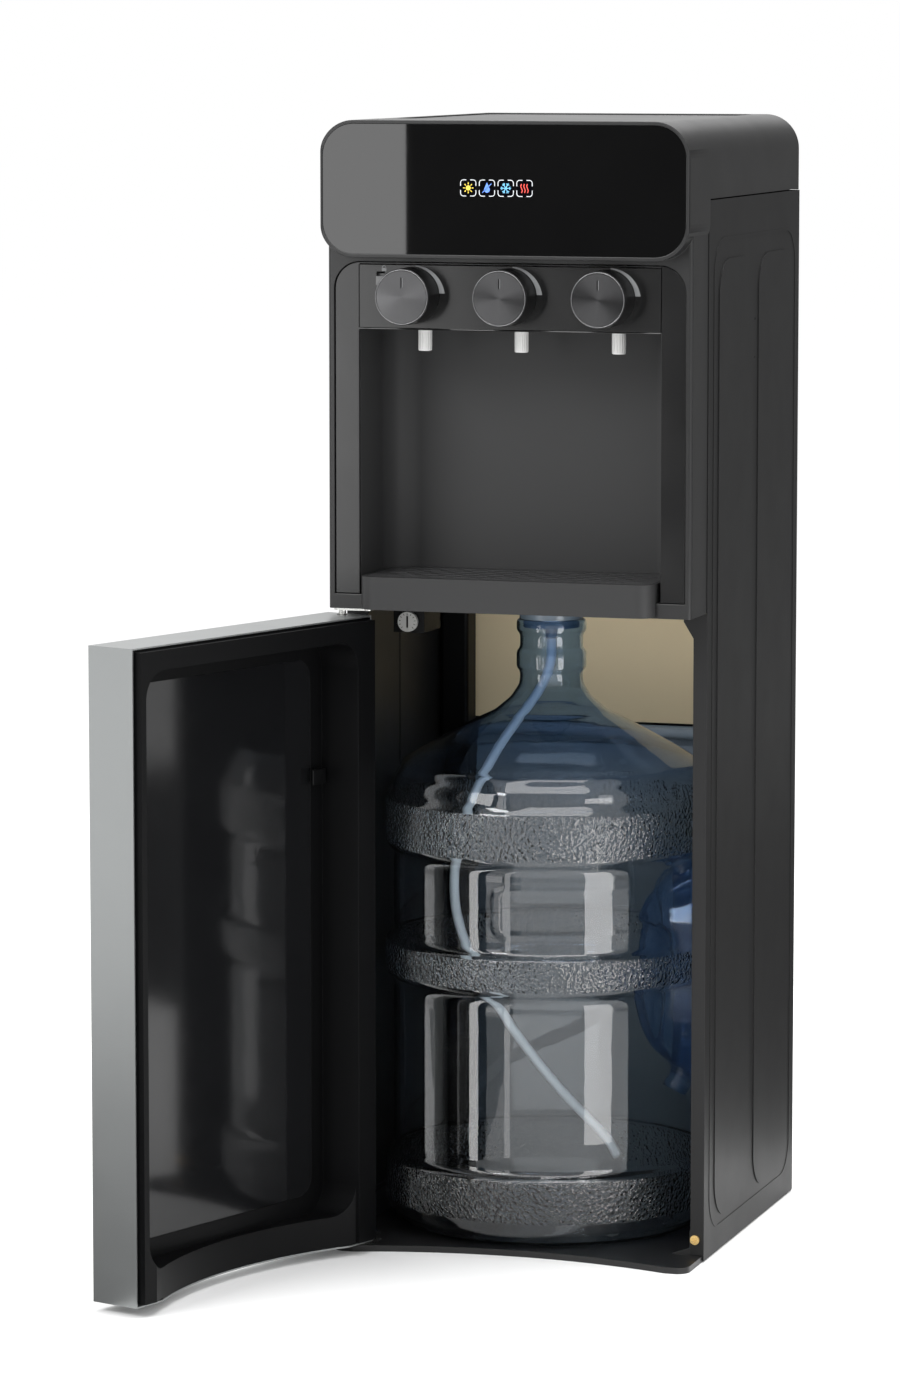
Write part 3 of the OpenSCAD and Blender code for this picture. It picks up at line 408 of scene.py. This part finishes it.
LOOKS = {
    "graphite_coated_steel": coated("graphite_coated_steel", (0.0115, 0.0115, 0.0118), 0.42, **DARK),
    "graphite_plastic": moulded("graphite_plastic", (0.0085, 0.0086, 0.0089), 0.34, Specular_IOR_Level=0.4),
    "black_plastic": moulded("black_plastic", (0.0022, 0.0023, 0.0026), 0.40, grain=0.7 * MM,
                             Specular_IOR_Level=0.08),
    "black_glass": gloss_panel("black_glass", (0.0045, 0.0045, 0.0046), 0.015),
    "lamp_tile": gloss_panel("lamp_tile", (0.002, 0.002, 0.003), 0.05),
    "print_grey": moulded("print_grey", (0.22, 0.225, 0.23), 0.5, grain=0.3 * MM),
    "white_plastic": moulded("white_plastic", (0.68, 0.68, 0.67), 0.35, grain=0.4 * MM, depth=0.01 * MM),
    "valve_plastic": moulded("valve_plastic", (0.55, 0.51, 0.43), 0.55),
    "galvanised_steel": coated("galvanised_steel", (0.24, 0.29, 0.34), 0.42, **DARK),
    "tan_board": coated("tan_board", (0.68, 0.56, 0.36), 0.6, **DARK),
    "black_rubber": rubber("black_rubber", (0.008, 0.008, 0.008)),
    "compressor_black": coated("compressor_black", (0.008, 0.008, 0.009), 0.3),
    "stainless_steel": brushed("stainless_steel", (0.55, 0.55, 0.55), 0.3, along="z"),
    "mica_band": coated("mica_band", (0.22, 0.18, 0.13), 0.6),
    "foam_white": moulded("foam_white", (0.72, 0.70, 0.62), 0.85, grain=3 * MM, depth=0.4 * MM),
    "pump_grey": coated("pump_grey", (0.07, 0.075, 0.085), 0.4),
    "circuit_green": gloss_panel("circuit_green", (0.01, 0.075, 0.03), 0.3),
    "switch_red": moulded("switch_red", (0.42, 0.015, 0.015), 0.3, grain=0.4 * MM),
    "switch_green": moulded("switch_green", (0.015, 0.22, 0.04), 0.3, grain=0.4 * MM),
    "bright_steel": brushed("bright_steel", (0.62, 0.62, 0.60), 0.25),
    "brass_screw": brushed("brass_screw", (0.72, 0.50, 0.20), 0.28),
    "knob_black": moulded("knob_black", (0.004, 0.004, 0.0042), 0.34, grain=0.6 * MM, **DARK),
    "spun_metal": brushed("spun_metal", (0.085, 0.085, 0.088), 0.27),
    "silver_skin": coated("silver_skin", (0.28, 0.29, 0.29), 0.34, Metallic=0.75),
    "gloss_black": gloss_panel("gloss_black", (0.0060, 0.0062, 0.0068), 0.08),
    "blue_polycarbonate": bottle_plastic(),
    "clear_hose": moulded("clear_hose", (0.80, 0.89, 0.96), 0.3, grain=2 * MM, depth=0.01 * MM,
                          Transmission_Weight=0.12),
}
PEBBLED = pebbled_plastic()
BLUE_GRIP = blue_plastic()
BOTTLE_LOOKS = [LOOKS["blue_polycarbonate"], PEBBLED, BLUE_GRIP]
PANEL_PLASTIC = moulded("panel_plastic", (0.0065, 0.0065, 0.0067), 0.2, grain=0.9 * MM, depth=0.008 * MM)
ALCOVE_PLASTIC = moulded("alcove_plastic", (0.036, 0.0362, 0.0368), 0.46, grain=0.6 * MM, depth=0.02 * MM,
                         **DARK)
CAP_PLASTIC = moulded("cap_plastic", (0.30, 0.38, 0.46), 0.25, grain=2 * MM, depth=0.01 * MM,
                      Transmission_Weight=0.5)
DIAL_PLASTIC = moulded("dial_plastic", (0.30, 0.30, 0.29), 0.4, grain=0.4 * MM, depth=0.01 * MM)
RIM_METAL = brushed("rim_metal", (0.20, 0.20, 0.205), 0.25)
TRAY_PLASTIC = moulded("tray_plastic", (0.031, 0.0312, 0.0318), 0.42, **DARK)
LOCK_PLASTIC = moulded("lock_plastic", (0.12, 0.12, 0.122), 0.3, grain=0.4 * MM, depth=0.01 * MM)
GRILLE_PLASTIC = moulded("grille_plastic", (0.048, 0.048, 0.05), 0.3, grain=0.6 * MM)


TAPS = ("hot", "ambient", "cold")


def dress(piece, look):
    """Gives every material slot of an object the same look."""
    if not piece.material_slots:
        piece.data.materials.append(look.material)
    for held in piece.material_slots:
        held.material = look.material


for row in frame["record"]["subparts"]:
    dress(NODES[row["node"]], LOOKS[row["material_slot"]])
dress(hose, LOOKS["clear_hose"])

OWN_LOOKS = {
    "fascia_insert": PANEL_PLASTIC, "control_panel": PANEL_PLASTIC, "alcove_liner": ALCOVE_PLASTIC,
    "probe_cap": CAP_PLASTIC, "thermostat_dial": DIAL_PLASTIC, "child_lock": LOCK_PLASTIC,
    "drip_grille": GRILLE_PLASTIC, "drip_tray": TRAY_PLASTIC,
}
for tap in TAPS:
    face_low, face_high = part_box(f"knob_face_{tap}")
    OWN_LOOKS[f"knob_face_{tap}"] = spun_metal(f"spun_metal_{tap}", (face_low + face_high) / 2)
for node, look in OWN_LOOKS.items():
    dress(NODES[node], look)


# ---- rounded edges on the plain mouldings ----

EDGE_ANGLE = math.radians(40)        # edges that turn more than this are rounded
EDGE_SEGMENTS = 2
FLAT_ANGLE = math.radians(0.6)       # faces that turn less than this are joined first
WELD_WITHIN = 0.002 * MM


def round_edges(node, radius):
    """Rounds a CAD node's sharp edges with modifiers; its own mesh stays as it is."""
    piece = NODES[node]
    weld = piece.modifiers.new("weld", "WELD")
    weld.merge_threshold = WELD_WITHIN
    flat = piece.modifiers.new("flat", "DECIMATE")
    flat.decimate_type = "DISSOLVE"
    flat.angle_limit = FLAT_ANGLE
    bevel = piece.modifiers.new("round", "BEVEL")
    bevel.width = radius
    bevel.segments = EDGE_SEGMENTS
    bevel.limit_method = "ANGLE"
    bevel.angle_limit = EDGE_ANGLE
    bevel.miter_outer = "MITER_ARC"
    normals = piece.modifiers.new("normals", "WEIGHTED_NORMAL")
    normals.keep_sharp = True


# ---- bottle ----

BOTTLE_AT = (-9.5 * MM, -16 * MM, 0)
BOTTLE_R = 135.5 * MM
BOTTLE_WALL = 1.6 * MM
BOTTLE_SEGMENTS = 240
BANDS = ((27, 60), (214, 238), (319, 355))      # pebbled bands, from and to, in mm
BOTTLE_PROFILE = [                              # (radius, height) in mm, from the foot up
    (0, 16), (60, 13), (96, 5.3), (112, 5.2), (124, 9), (132, 17), (135, 27), (135, 59), (133.4, 62.6),
    (129.6, 64.6), (127.6, 68), (128.4, 73), (128.4, 196), (127.6, 202), (128.8, 207), (132.8, 210.4),
    (134.6, 214), (135.3, 226), (135, 237), (133.4, 240.6), (129.6, 242.6), (127.6, 246), (128.4, 251),
    (128.4, 303), (127.6, 308), (128.8, 312), (132.8, 315.4), (134.6, 319), (135.3, 337), (135, 354),
    (133.8, 357.4), (131.4, 359.6), (131.4, 365), (129.5, 373), (122, 384), (101, 396), (77, 409), (60, 418),
    (46, 425), (33, 436), (26.4, 446), (25.6, 451), (25.6, 456.4), (26.4, 458), (28.1, 459.4), (28.4, 461),
    (28.4, 472), (28.1, 473.8), (26.2, 475.4), (25.6, 477), (25.6, 486.6), (26.4, 488.2), (28.1, 489.6),
    (28.4, 491), (28.4, 497.5), (27.6, 499.4), (26, 500)]
PROFILE_STEP = 2.2 * MM
SMOOTH_ABOVE = 0.42                  # the cone and neck have no relief
SMOOTH_WITHIN = 90 * MM              # nor does the foot
BAND_FACE = 2.6 * MM                 # a band's pebbled face is within this of the full radius
BAND_WAVE = 0.3 * MM
BAND_WAVE_SIZE = 7 * MM
HANDLE_TURN = math.radians(42)
HANDLE_Z = (0.106, 0.300)
HANDLE_DEPTH = 34 * MM
HANDLE_HALF_ANGLE = math.radians(29)
HANDLE_SLOPE = 0.4                   # share of the pocket that slopes down to its floor
BLUE_WITHIN = 0.97                   # the blue plastic stops just inside the pocket's edge
GRIP_R = 10.5 * MM
LABEL_TURN = math.radians(-62)       # the embossed frame looks towards the camera
LABEL_HALF = (70 * MM, 18 * MM)
LABEL_Z = 0.277
LABEL_CORNER = 7 * MM
LABEL_RAISE = 0.8 * MM
LABEL_LINE = 2.6 * MM
PANEL_COUNT = 6                      # shallow panels round the shoulder
PANEL_Z = (0.360, 0.388)
PANEL_DEPTH = 2.4 * MM
PANEL_SLOPES = (0.35, 12 * MM, 4 * MM)   # at the sides, as a share, and at the top and foot


def resampled(profile, step):
    """The profile in metres with points about one step apart, its corners softened."""
    points = [Vector((r * MM, z * MM)) for r, z in profile]
    fine = [points[0]]
    for a, b in zip(points, points[1:]):
        parts = max(1, round((b - a).length / step))
        fine += [a.lerp(b, (k + 1) / parts) for k in range(parts)]
    soft = [fine[0]]
    soft += [(a + 2 * b + c) / 4 for a, b, c in zip(fine, fine[1:], fine[2:])]
    return [*soft, fine[-1]]


def soft_step(x):
    """Rises smoothly from 0 to 1 as x does."""
    x = min(1.0, max(0.0, x))
    return x * x * (3 - 2 * x)


def angle_from(angle, centre):
    """The signed turn from centre to angle, between -pi and pi."""
    return (angle - centre + math.pi) % (2 * math.pi) - math.pi


def frame_relief(angle, r, z):
    """Height of the embossed rounded frame on the upper waist."""
    u = abs(angle_from(angle, LABEL_TURN)) * r - (LABEL_HALF[0] - LABEL_CORNER)
    v = abs(z - LABEL_Z) - (LABEL_HALF[1] - LABEL_CORNER)
    away = math.hypot(max(u, 0), max(v, 0)) + min(max(u, v), 0) - LABEL_CORNER
    return LABEL_RAISE * max(0.0, 1 - abs(away) / LABEL_LINE)


def panel_relief(angle, z):
    """Depth of the shallow arched panels round the shoulder."""
    if not PANEL_Z[0] < z < PANEL_Z[1]:
        return 0.0
    side, top, foot = PANEL_SLOPES
    share = abs(angle_from(angle * PANEL_COUNT, 0)) / math.pi
    across = soft_step((1 - share) / side)
    return PANEL_DEPTH * across * soft_step((PANEL_Z[1] - z) / top) * soft_step((z - PANEL_Z[0]) / foot)


def from_handle(angle, z):
    """How far a spot is from the handle pocket's middle, 1 at the pocket's oval edge."""
    turn = angle_from(angle, HANDLE_TURN) / HANDLE_HALF_ANGLE
    rise = (z - sum(HANDLE_Z) / 2) / ((HANDLE_Z[1] - HANDLE_Z[0]) / 2)
    return math.hypot(turn, rise)


def on_band(z):
    """Whether a height is on one of the pebbled bands."""
    return any(low * MM < z < high * MM for low, high in BANDS)


def bottle_radius(angle, r, z):
    """The bottle's radius with its handle pocket, embossing, shoulder panels and slight unevenness."""
    if r < SMOOTH_WITHIN or z > SMOOTH_ABOVE:
        return r
    pocket = soft_step((1 - from_handle(angle, z)) / HANDLE_SLOPE)
    at = r - HANDLE_DEPTH * pocket + frame_relief(angle, r, z) - panel_relief(angle, z)
    if on_band(z):
        at += BAND_WAVE * noise.noise(Vector((*on_circle(r, angle), z)) / BAND_WAVE_SIZE)
    return at


def add_bottle():
    """The water bottle as an outer and an inner skin joined at the mouth."""
    outer = resampled(BOTTLE_PROFILE, PROFILE_STEP)
    inner = []
    for i, p in enumerate(outer):
        along = outer[min(i + 1, len(outer) - 1)] - outer[max(i - 1, 0)]
        side = Vector((-along.y, along.x)).normalized()
        inner.append(Vector((max(0.0, p.x + side.x * BOTTLE_WALL), p.y + side.y * BOTTLE_WALL)))
    inner[0].x = 0
    rings = [(p.x, p.y) for p in [*outer, *reversed(inner)]]
    bottle = lathe("bottle_shell", rings, BOTTLE_SEGMENTS, "bottle_body", BOTTLE_AT, bottle_radius)
    mesh = bottle.data
    shaper = bmesh.new()
    shaper.from_mesh(mesh)
    bmesh.ops.remove_doubles(shaper, verts=shaper.verts, dist=0.01 * MM)
    bmesh.ops.recalc_face_normals(shaper, faces=shaper.faces)
    shaper.to_mesh(mesh)
    shaper.free()
    for look in BOTTLE_LOOKS:
        mesh.materials.append(look.material)
    for face in mesh.polygons:
        x, y, z = face.center - Vector(BOTTLE_AT)
        reach = math.hypot(x, y)
        if reach > BOTTLE_R / 2 and from_handle(math.atan2(y, x), z) < BLUE_WITHIN:
            face.material_index = BOTTLE_LOOKS.index(BLUE_GRIP)
        elif on_band(z) and reach > BOTTLE_R - BAND_FACE:
            face.material_index = BOTTLE_LOOKS.index(PEBBLED)
    mesh.shade_smooth()
    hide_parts("bottle")


def add_bottle_handle():
    """The upright grip that bridges the pocket in the bottle's side."""
    out = Vector((math.cos(HANDLE_TURN), math.sin(HANDLE_TURN), 0))
    centre = Vector(BOTTLE_AT)
    low, high = HANDLE_Z
    near, far = BOTTLE_R - 22 * MM, BOTTLE_R - 13 * MM
    past, bend = 4 * MM, 16 * MM
    stops = [(near, low - past), (far, low + bend), (far + 1 * MM, (low + high) / 2), (far, high - bend),
             (near, high + past)]
    line = through([centre + out * r + Vector((0, 0, z)) for r, z in stops], 8)
    grip = tube("bottle_handle", line, GRIP_R, "bottle_body", sides=24)
    dress(grip, BLUE_GRIP)


add_bottle()
add_bottle_handle()


# ---- taps ----

RIBS = 18
RIB_DEPTH = 0.35 * MM
SPOUT_WALL = 2.2 * MM
BARREL = 17 * MM                     # the ribbed length
BARREL_STEPS = 8


def add_spout(tap):
    """A white nozzle: a plain collar, a ribbed barrel and a rounded lip."""
    low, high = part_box(f"spout_{tap}")
    x, y = (low.x + high.x) / 2, (low.y + high.y) / 2
    r = (high.x - low.x) / 2
    bore = r - SPOUT_WALL
    barrel_foot, barrel_top = low.z + 1.6 * MM, low.z + BARREL

    def ribbed(angle, at, z):
        on_barrel = at > r - 0.5 * MM and low.z + 1.5 * MM < z < barrel_top
        return at - RIB_DEPTH * (0.5 + 0.5 * math.cos(RIBS * angle)) if on_barrel else at

    rings = [(bore, high.z), (bore, low.z + 0.6 * MM), (bore + 0.5 * MM, low.z), (r - 0.9 * MM, low.z),
             (r - 0.3 * MM, low.z + 0.6 * MM)]
    ribbed_length = BARREL - 2 * MM
    rings += [(r - 0.2 * MM, barrel_foot + ribbed_length * k / BARREL_STEPS) for k in range(BARREL_STEPS + 1)]
    rings += [(r, barrel_top + 0.3 * MM), (r, high.z), (bore, high.z)]
    spout = lathe(f"nozzle_{tap}", rings, RIBS * 6, "cabinet", (x, y, 0), ribbed)
    dress(spout, LOOKS["white_plastic"])
    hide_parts(f"spout_{tap}")


for tap in TAPS:
    add_spout(tap)


# ---- symbols on the display ----

GLASS_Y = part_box("display_glass")[0].y
LAMP_LOW, LAMP_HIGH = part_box("indicator_lamps")
TILE = LAMP_HIGH.z - LAMP_LOW.z
TILE_PITCH = (LAMP_HIGH.x - LAMP_LOW.x - TILE) / 3
LIFT = 0.12 * MM                      # symbols are printed this thick
OUTLINE = 0.55 * MM


def plate(name, loops, look, centre, body="cabinet"):
    """Flat printed shapes that face -Y; loops are closed outlines of (x, z) in metres about the centre."""
    shaper = bmesh.new()
    for loop in loops:
        ring = [shaper.verts.new((centre.x + x, centre.y - LIFT, centre.z + z)) for x, z in loop]
        shaper.faces.new(ring)
    faces = list(shaper.faces)
    grown = bmesh.ops.extrude_face_region(shaper, geom=faces)
    moved = [v for v in grown["geom"] if isinstance(v, bmesh.types.BMVert)]
    bmesh.ops.translate(shaper, verts=moved, vec=(0, LIFT * 0.9, 0))
    bmesh.ops.recalc_face_normals(shaper, faces=shaper.faces)
    mesh = bpy.data.meshes.new(name)
    shaper.to_mesh(mesh)
    shaper.free()
    mark = add_object(name, mesh, body)
    dress(mark, look)
    return mark


def bar(a, b, width):
    """A straight stroke from a to b as one outline."""
    a, b = Vector(a), Vector(b)
    side = (b - a).normalized().orthogonal() * width / 2
    return [tuple(p) for p in (a + side, b + side, b - side, a - side)]


def stroke(points, width):
    """A bent stroke as overlapping straight ones."""
    return [bar(a, b, width) for a, b in zip(points, points[1:])]


def disc(radius, count=20):
    """A filled circle as one outline."""
    return [on_circle(radius, 2 * math.pi * k / count) for k in range(count)]


def tile_outline():
    """A rounded square drawn as four corners, open in the middle of each side."""
    half, corner, opening = TILE / 2 - OUTLINE / 2, 2.2 * MM, 1.6 * MM
    strokes = []
    for sx, sz in ((1, 1), (-1, 1), (-1, -1), (1, -1)):
        turned = [on_circle(corner, math.radians(a)) for a in (0, 18, 36, 54, 72, 90)]
        arc = [(half - corner + z, half - corner + x) for x, z in turned]
        points = [(opening, half), *arc, (half, opening)]
        strokes += stroke([(sx * x, sz * z) for x, z in points], OUTLINE)
    return strokes


def sun():
    """A disc with eight rays."""
    rays = []
    for k in range(8):
        way = on_circle(1, math.pi * k / 4)
        rays.append(bar([2.7 * MM * c for c in way], [4.2 * MM * c for c in way], 0.7 * MM))
    return [disc(2.0 * MM), *rays]


def drop():
    """A drop with a line across it, for an empty bottle."""
    r = 2.3 * MM
    turned = [on_circle(r, math.radians(a)) for a in range(-205, 26, 11)]
    outline = [(x, z - 1.2 * MM) for x, z in turned]
    return [[*outline, (0, 4.4 * MM)], bar((-3.8 * MM, -3.6 * MM), (3.6 * MM, 3.4 * MM), 0.6 * MM)]


def snowflake():
    """Six arms, each with two barbs."""
    strokes = []
    for k in range(6):
        turn = math.pi * k / 3
        way, across = Vector((math.cos(turn), math.sin(turn))), Vector((-math.sin(turn), math.cos(turn)))
        strokes.append(bar((0, 0), way * 4.3 * MM, 0.55 * MM))
        for side in (1, -1):
            strokes.append(bar(way * 2.4 * MM, way * 3.7 * MM + across * side * 1.2 * MM, 0.45 * MM))
    return strokes


def heat_waves():
    """Three rising wavy strokes."""
    strokes = []
    for x in (-2.4, 0, 2.4):
        wave = [((x + 0.7 * math.sin(t * 1.57)) * MM, (t * 1.7 - 3.4) * MM) for t in (0, 1, 2, 3, 4)]
        strokes += stroke(wave, 0.75 * MM)
    return strokes


SYMBOLS = (
    ("power", sun, (0.85, 0.62, 0.05)),
    ("empty", drop, (0.12, 0.28, 0.90)),
    ("cooling", snowflake, (0.20, 0.62, 0.95)),
    ("heating", heat_waves, (0.80, 0.07, 0.05)),
)
WHITE_MARK = glowing("symbol_white", (0.75, 0.77, 0.80), 0.25)


def add_symbols():
    """Four lamp tiles, each a broken outline around a coloured symbol."""
    for i, (name, shape, color) in enumerate(SYMBOLS):
        centre = Vector((LAMP_LOW.x + TILE / 2 + i * TILE_PITCH, GLASS_Y, (LAMP_LOW.z + LAMP_HIGH.z) / 2))
        for part, loops, look in (("outline", tile_outline(), WHITE_MARK),
                                  ("symbol", shape(), glowing(f"symbol_{name}", color, 0.35))):
            mark = plate(f"{part}_{name}", loops, look, centre)


add_symbols()


# ---- printed marks on the controls, with painted shade and a painted highlight for their slots ----

POINTER_Z = (7.6 * MM, 15 * MM)      # above the knob's centre
POINTER_HALF = 0.5 * MM
RIM_BEAD = 0.35 * MM
DIAL_TICKS = 11
DIAL_START = 225                     # degrees, and the ticks go clockwise from there
DIAL_STEP = 27


def padlock():
    """A padlock: a body and an open-bottomed shackle."""
    body = [(-1.9 * MM, -2.2 * MM), (1.9 * MM, -2.2 * MM), (1.9 * MM, 0.4 * MM), (-1.9 * MM, 0.4 * MM)]
    turned = [on_circle(1.3 * MM, math.radians(a)) for a in range(0, 181, 30)]
    arch = [(x, z + 0.9 * MM) for x, z in turned]
    return [body, *stroke([(1.3 * MM, 0.2 * MM), *arch, (-1.3 * MM, 0.2 * MM)], 0.6 * MM)]


def add_padlock():
    """The padlock printed above the child lock's catch."""
    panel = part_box("control_panel")[0]
    catch_low, catch_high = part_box("child_lock")
    centre = Vector(((catch_low.x + catch_high.x) / 2 + 2.7 * MM, panel.y, catch_high.z + 4 * MM))
    plate("padlock_mark", padlock(), LOOKS["print_grey"], centre)


def add_pointer(tap):
    """A black slot in a knob's face, drawn flat as painted shade, with a pale strip along its right side that
    is a painted highlight on the slot's lit wall.
    """
    low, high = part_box(f"knob_face_{tap}")
    centre = Vector(((low.x + high.x) / 2, low.y, (low.z + high.z) / 2))
    foot, top = POINTER_Z
    left, right, lit = -POINTER_HALF, POINTER_HALF, POINTER_HALF + 0.3 * MM
    # the slot's black is painted shade and the pale strip at its right is a painted highlight, both flat
    # where a groove would be
    slot = [(left, foot), (right, foot), (right, top), (left, top)]
    edge = [(right, foot), (lit, foot), (lit, top), (right, top)]
    for part, loop, look in (("slot", slot, LOOKS["knob_black"]), ("edge", edge, LOOKS["print_grey"])):
        plate(f"pointer_{part}_{tap}", [loop], look, centre, f"knob_{tap}_body")


def add_rim(tap):
    """A bright bead round the face of a knob."""
    low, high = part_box(f"knob_face_{tap}")
    middle = (high.x - low.x) / 2 + 0.75 * MM
    rings = [(middle + r, z) for r, z in disc(RIM_BEAD, 10)]
    rim = lathe(f"knob_rim_{tap}", rings, 96, f"knob_{tap}_body", closed=True)
    centre = Vector(((low.x + high.x) / 2, low.y, (low.z + high.z) / 2))
    rim.data.transform(Matrix.Translation(centre) @ Matrix.Rotation(math.radians(90), 4, "X"))
    dress(rim, RIM_METAL)


def add_dial_marks():
    """Printed ticks on the thermostat's dial, and a flat black bar for its pointer slot, which is painted
    shade.
    """
    low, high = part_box("thermostat_dial")
    centre = Vector(((low.x + high.x) / 2, low.y, (low.z + high.z) / 2))
    ticks = []
    for k in range(DIAL_TICKS):
        way = Vector(on_circle(1, math.radians(DIAL_START - DIAL_STEP * k)))
        ticks.append(bar(way * 5.6 * MM, way * 7.2 * MM, 0.45 * MM))
    # the black bar is painted shade standing in for the slot's recess
    slot = bar((0, -4.6 * MM), (0, 4.6 * MM), 1.4 * MM)
    marks = plate("dial_ticks", [*ticks, slot], LOOKS["knob_black"], centre, "thermostat_body")


add_padlock()
for tap in TAPS:
    add_pointer(tap)
    add_rim(tap)
add_dial_marks()


# ---- condenser wires ----

WIRE_R = 0.7 * MM
CONDENSER_TUBE_R = 2.4 * MM
WIRE_COUNT = 30
WIRE_SIDES = 8
WIRE_MARGIN = (22 * MM, 2 * MM)      # from the condenser's ends along X and along Z


def add_condenser_wires():
    """Upright wires spot-welded to both sides of the condenser's tube."""
    low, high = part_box("condenser")
    middle = high.y - CONDENSER_TUBE_R
    across = high.x - low.x - 2 * WIRE_MARGIN[0]
    ring = range(WIRE_SIDES)
    verts, faces = [], []
    for k in range(WIRE_COUNT):
        side = 1 if k % 2 else -1
        x = low.x + WIRE_MARGIN[0] + across * k / (WIRE_COUNT - 1)
        y = middle + side * (CONDENSER_TUBE_R + WIRE_R * 0.8)
        base = len(verts)
        for z in (low.z + WIRE_MARGIN[1], high.z - WIRE_MARGIN[1]):
            verts += [(x + dx, y + dy, z) for dx, dy in disc(WIRE_R, WIRE_SIDES)]
        for n in ring:
            after = (n + 1) % WIRE_SIDES
            faces.append((base + n, base + after, base + WIRE_SIDES + after, base + WIRE_SIDES + n))
        faces += [tuple(base + n for n in reversed(ring)), tuple(base + WIRE_SIDES + n for n in ring)]
    wires = mesh_piece("condenser_wires", verts, faces, "cabinet", smooth=False)
    dress(wires, LOOKS["compressor_black"])


add_condenser_wires()


# ---- floor, world and lights ----

def card(name, at, towards, size, strength):
    """A studio card, centred at a point, whose front faces another; only reflections see it."""
    half, height = size[0] / 2, size[1] / 2
    mesh = bpy.data.meshes.new(name)
    mesh.from_pydata([(-half, 0, -height), (half, 0, -height), (half, 0, height), (-half, 0, height)], [],
                     [(0, 1, 2, 3)])
    made = bpy.data.objects.new(name, mesh)
    bpy.context.scene.collection.objects.link(made)
    made.location = at
    made.rotation_euler = (Vector(towards) - Vector(at)).to_track_quat("-Y", "Z").to_euler()
    look = Look(name, (0, 0, 0), 1.0, Specular_IOR_Level=0.0, Emission_Strength=strength)
    look.shader.inputs["Emission Color"].default_value = (1, 1, 1, 1)
    facing_side = look.tree.nodes.new("ShaderNodeNewGeometry")
    front_only = look.tree.nodes.new("ShaderNodeMath")
    front_only.operation = "SUBTRACT"
    front_only.inputs[0].default_value = 1.0
    look.link(facing_side.outputs["Backfacing"], front_only.inputs[1])
    look.link(front_only.outputs["Value"], look.shader.inputs["Alpha"])
    dress(made, look)
    made.visible_camera = False
    made.visible_shadow = False
    made.visible_diffuse = False
    made.visible_transmission = False


def area_light(name, at, target, size, power):
    """A rectangular soft light at a point, aimed at another."""
    data = bpy.data.lights.new(name, "AREA")
    data.shape = "RECTANGLE"
    data.size, data.size_y = size
    data.energy = power
    made = bpy.data.objects.new(name, data)
    bpy.context.scene.collection.objects.link(made)
    made.location = at
    made.rotation_euler = (Vector(target) - Vector(at)).to_track_quat("-Z", "Y").to_euler()
    made.visible_camera = False


CARD_Y = -3.18
CARD_Z = 0.95
CARD_TALL = 1.8
CARD_WIDE = 1.34
FLAG_X = (-1.055, -0.25)             # the bright card ends where the dark flag starts
FLOOR_HALF = 30.0
STREAK_TALL = 0.44
STREAKS = (                          # narrow cards that draw upright streaks on the bottle
    ((-0.150, -0.270, 0.25), 0.030, 9.0),
    ((-0.073, -0.385, 0.25), 0.022, 5.0),
    ((0.292, -0.305, 0.25), 0.130, 9.0),
)
CARDS = (                            # name, place, what it faces, size, strength
    ("side_flag", (1.5, 2.4, 1.0), (0.15, 0, 0.5), (2.8, 2.6), 0.20),
    ("side_floor_flag", (1.3, 1.5, 0.004), (1.3, 1.5, 1), (2.2, 2.4), 0.10),
    ("overhead_card", (0.2, -0.9, 1.5), (0, 0, 0.2), (1.3, 0.5), 7.0),
    ("floor_flag", (-0.72, -0.72, 0.004), (-0.72, -0.72, 1), (0.95, 0.95), 0.0),
)
LIGHTS = (                           # name, place, target, size, watts
    ("key", (-1.5, -2.6, 2.3), (0, 0, 0.6), (1.4, 1.0), 46),
    ("strip_right", (2.3, -1.5, 0.9), (0, 0, 0.45), (0.5, 1.7), 6),
    ("top", (0.3, 0.2, 2.7), (0, 0, 0.9), (1.4, 1.4), 55),
    ("bay_fill", (0.02, 0.03, 0.505), (0.02, 0.14, 0.42), (0.24, 0.02), 0.09),
)


def add_studio():
    """A white floor and surround, cards that only reflections see, and four soft lights."""
    world = bpy.data.worlds.new("studio")
    bpy.context.scene.world = world
    world.use_nodes = True
    background = world.node_tree.nodes["Background"]
    background.inputs["Color"].default_value = (1, 1, 1, 1)
    background.inputs["Strength"].default_value = 1.0
    half = FLOOR_HALF
    mesh = bpy.data.meshes.new("floor")
    corners = [(-half, -half, 0), (half, -half, 0), (half, half, 0), (-half, half, 0)]
    mesh.from_pydata(corners, [], [(0, 1, 2, 3)])
    floor = bpy.data.objects.new("floor", mesh)
    bpy.context.scene.collection.objects.link(floor)
    dress(floor, Look("floor", (1, 1, 1), 1.0, Specular_IOR_Level=0.0))
    for name, x, width, strength in (("bright_card", FLAG_X[0] - CARD_WIDE / 2, CARD_WIDE, 4.0),
                                     ("dark_flag", sum(FLAG_X) / 2, FLAG_X[1] - FLAG_X[0], 0.0)):
        card(name, (x, CARD_Y, CARD_Z), (x, 0, CARD_Z), (width, CARD_TALL), strength)
    for i, (at, width, strength) in enumerate(STREAKS):
        card(f"streak_card_{i}", at, (BOTTLE_AT[0], BOTTLE_AT[1], at[2]), (width, STREAK_TALL), strength)
    for row in CARDS:
        card(*row)
    for row in LIGHTS:
        area_light(*row)
    bpy.context.scene.view_settings.view_transform = "Standard"
    bpy.context.scene.view_settings.look = "None"


add_studio()

EDGES = {                            # radius in mm
    "front_shell": 1.0, "fascia_insert": 0.6, "control_panel": 0.4, "top_cover": 0.5, "drip_tray": 1.2,
    "door_skin": 0.6, "door_liner": 1.2, "base_pan": 0.8, "alcove_liner": 0.4, "side_panel_left": 0.3,
    "side_panel_right": 0.3, "thermostat_housing": 1.0, "door_clip": 0.4, "display_glass": 0.25,
}
for node, radius in EDGES.items():
    round_edges(node, radius * MM)
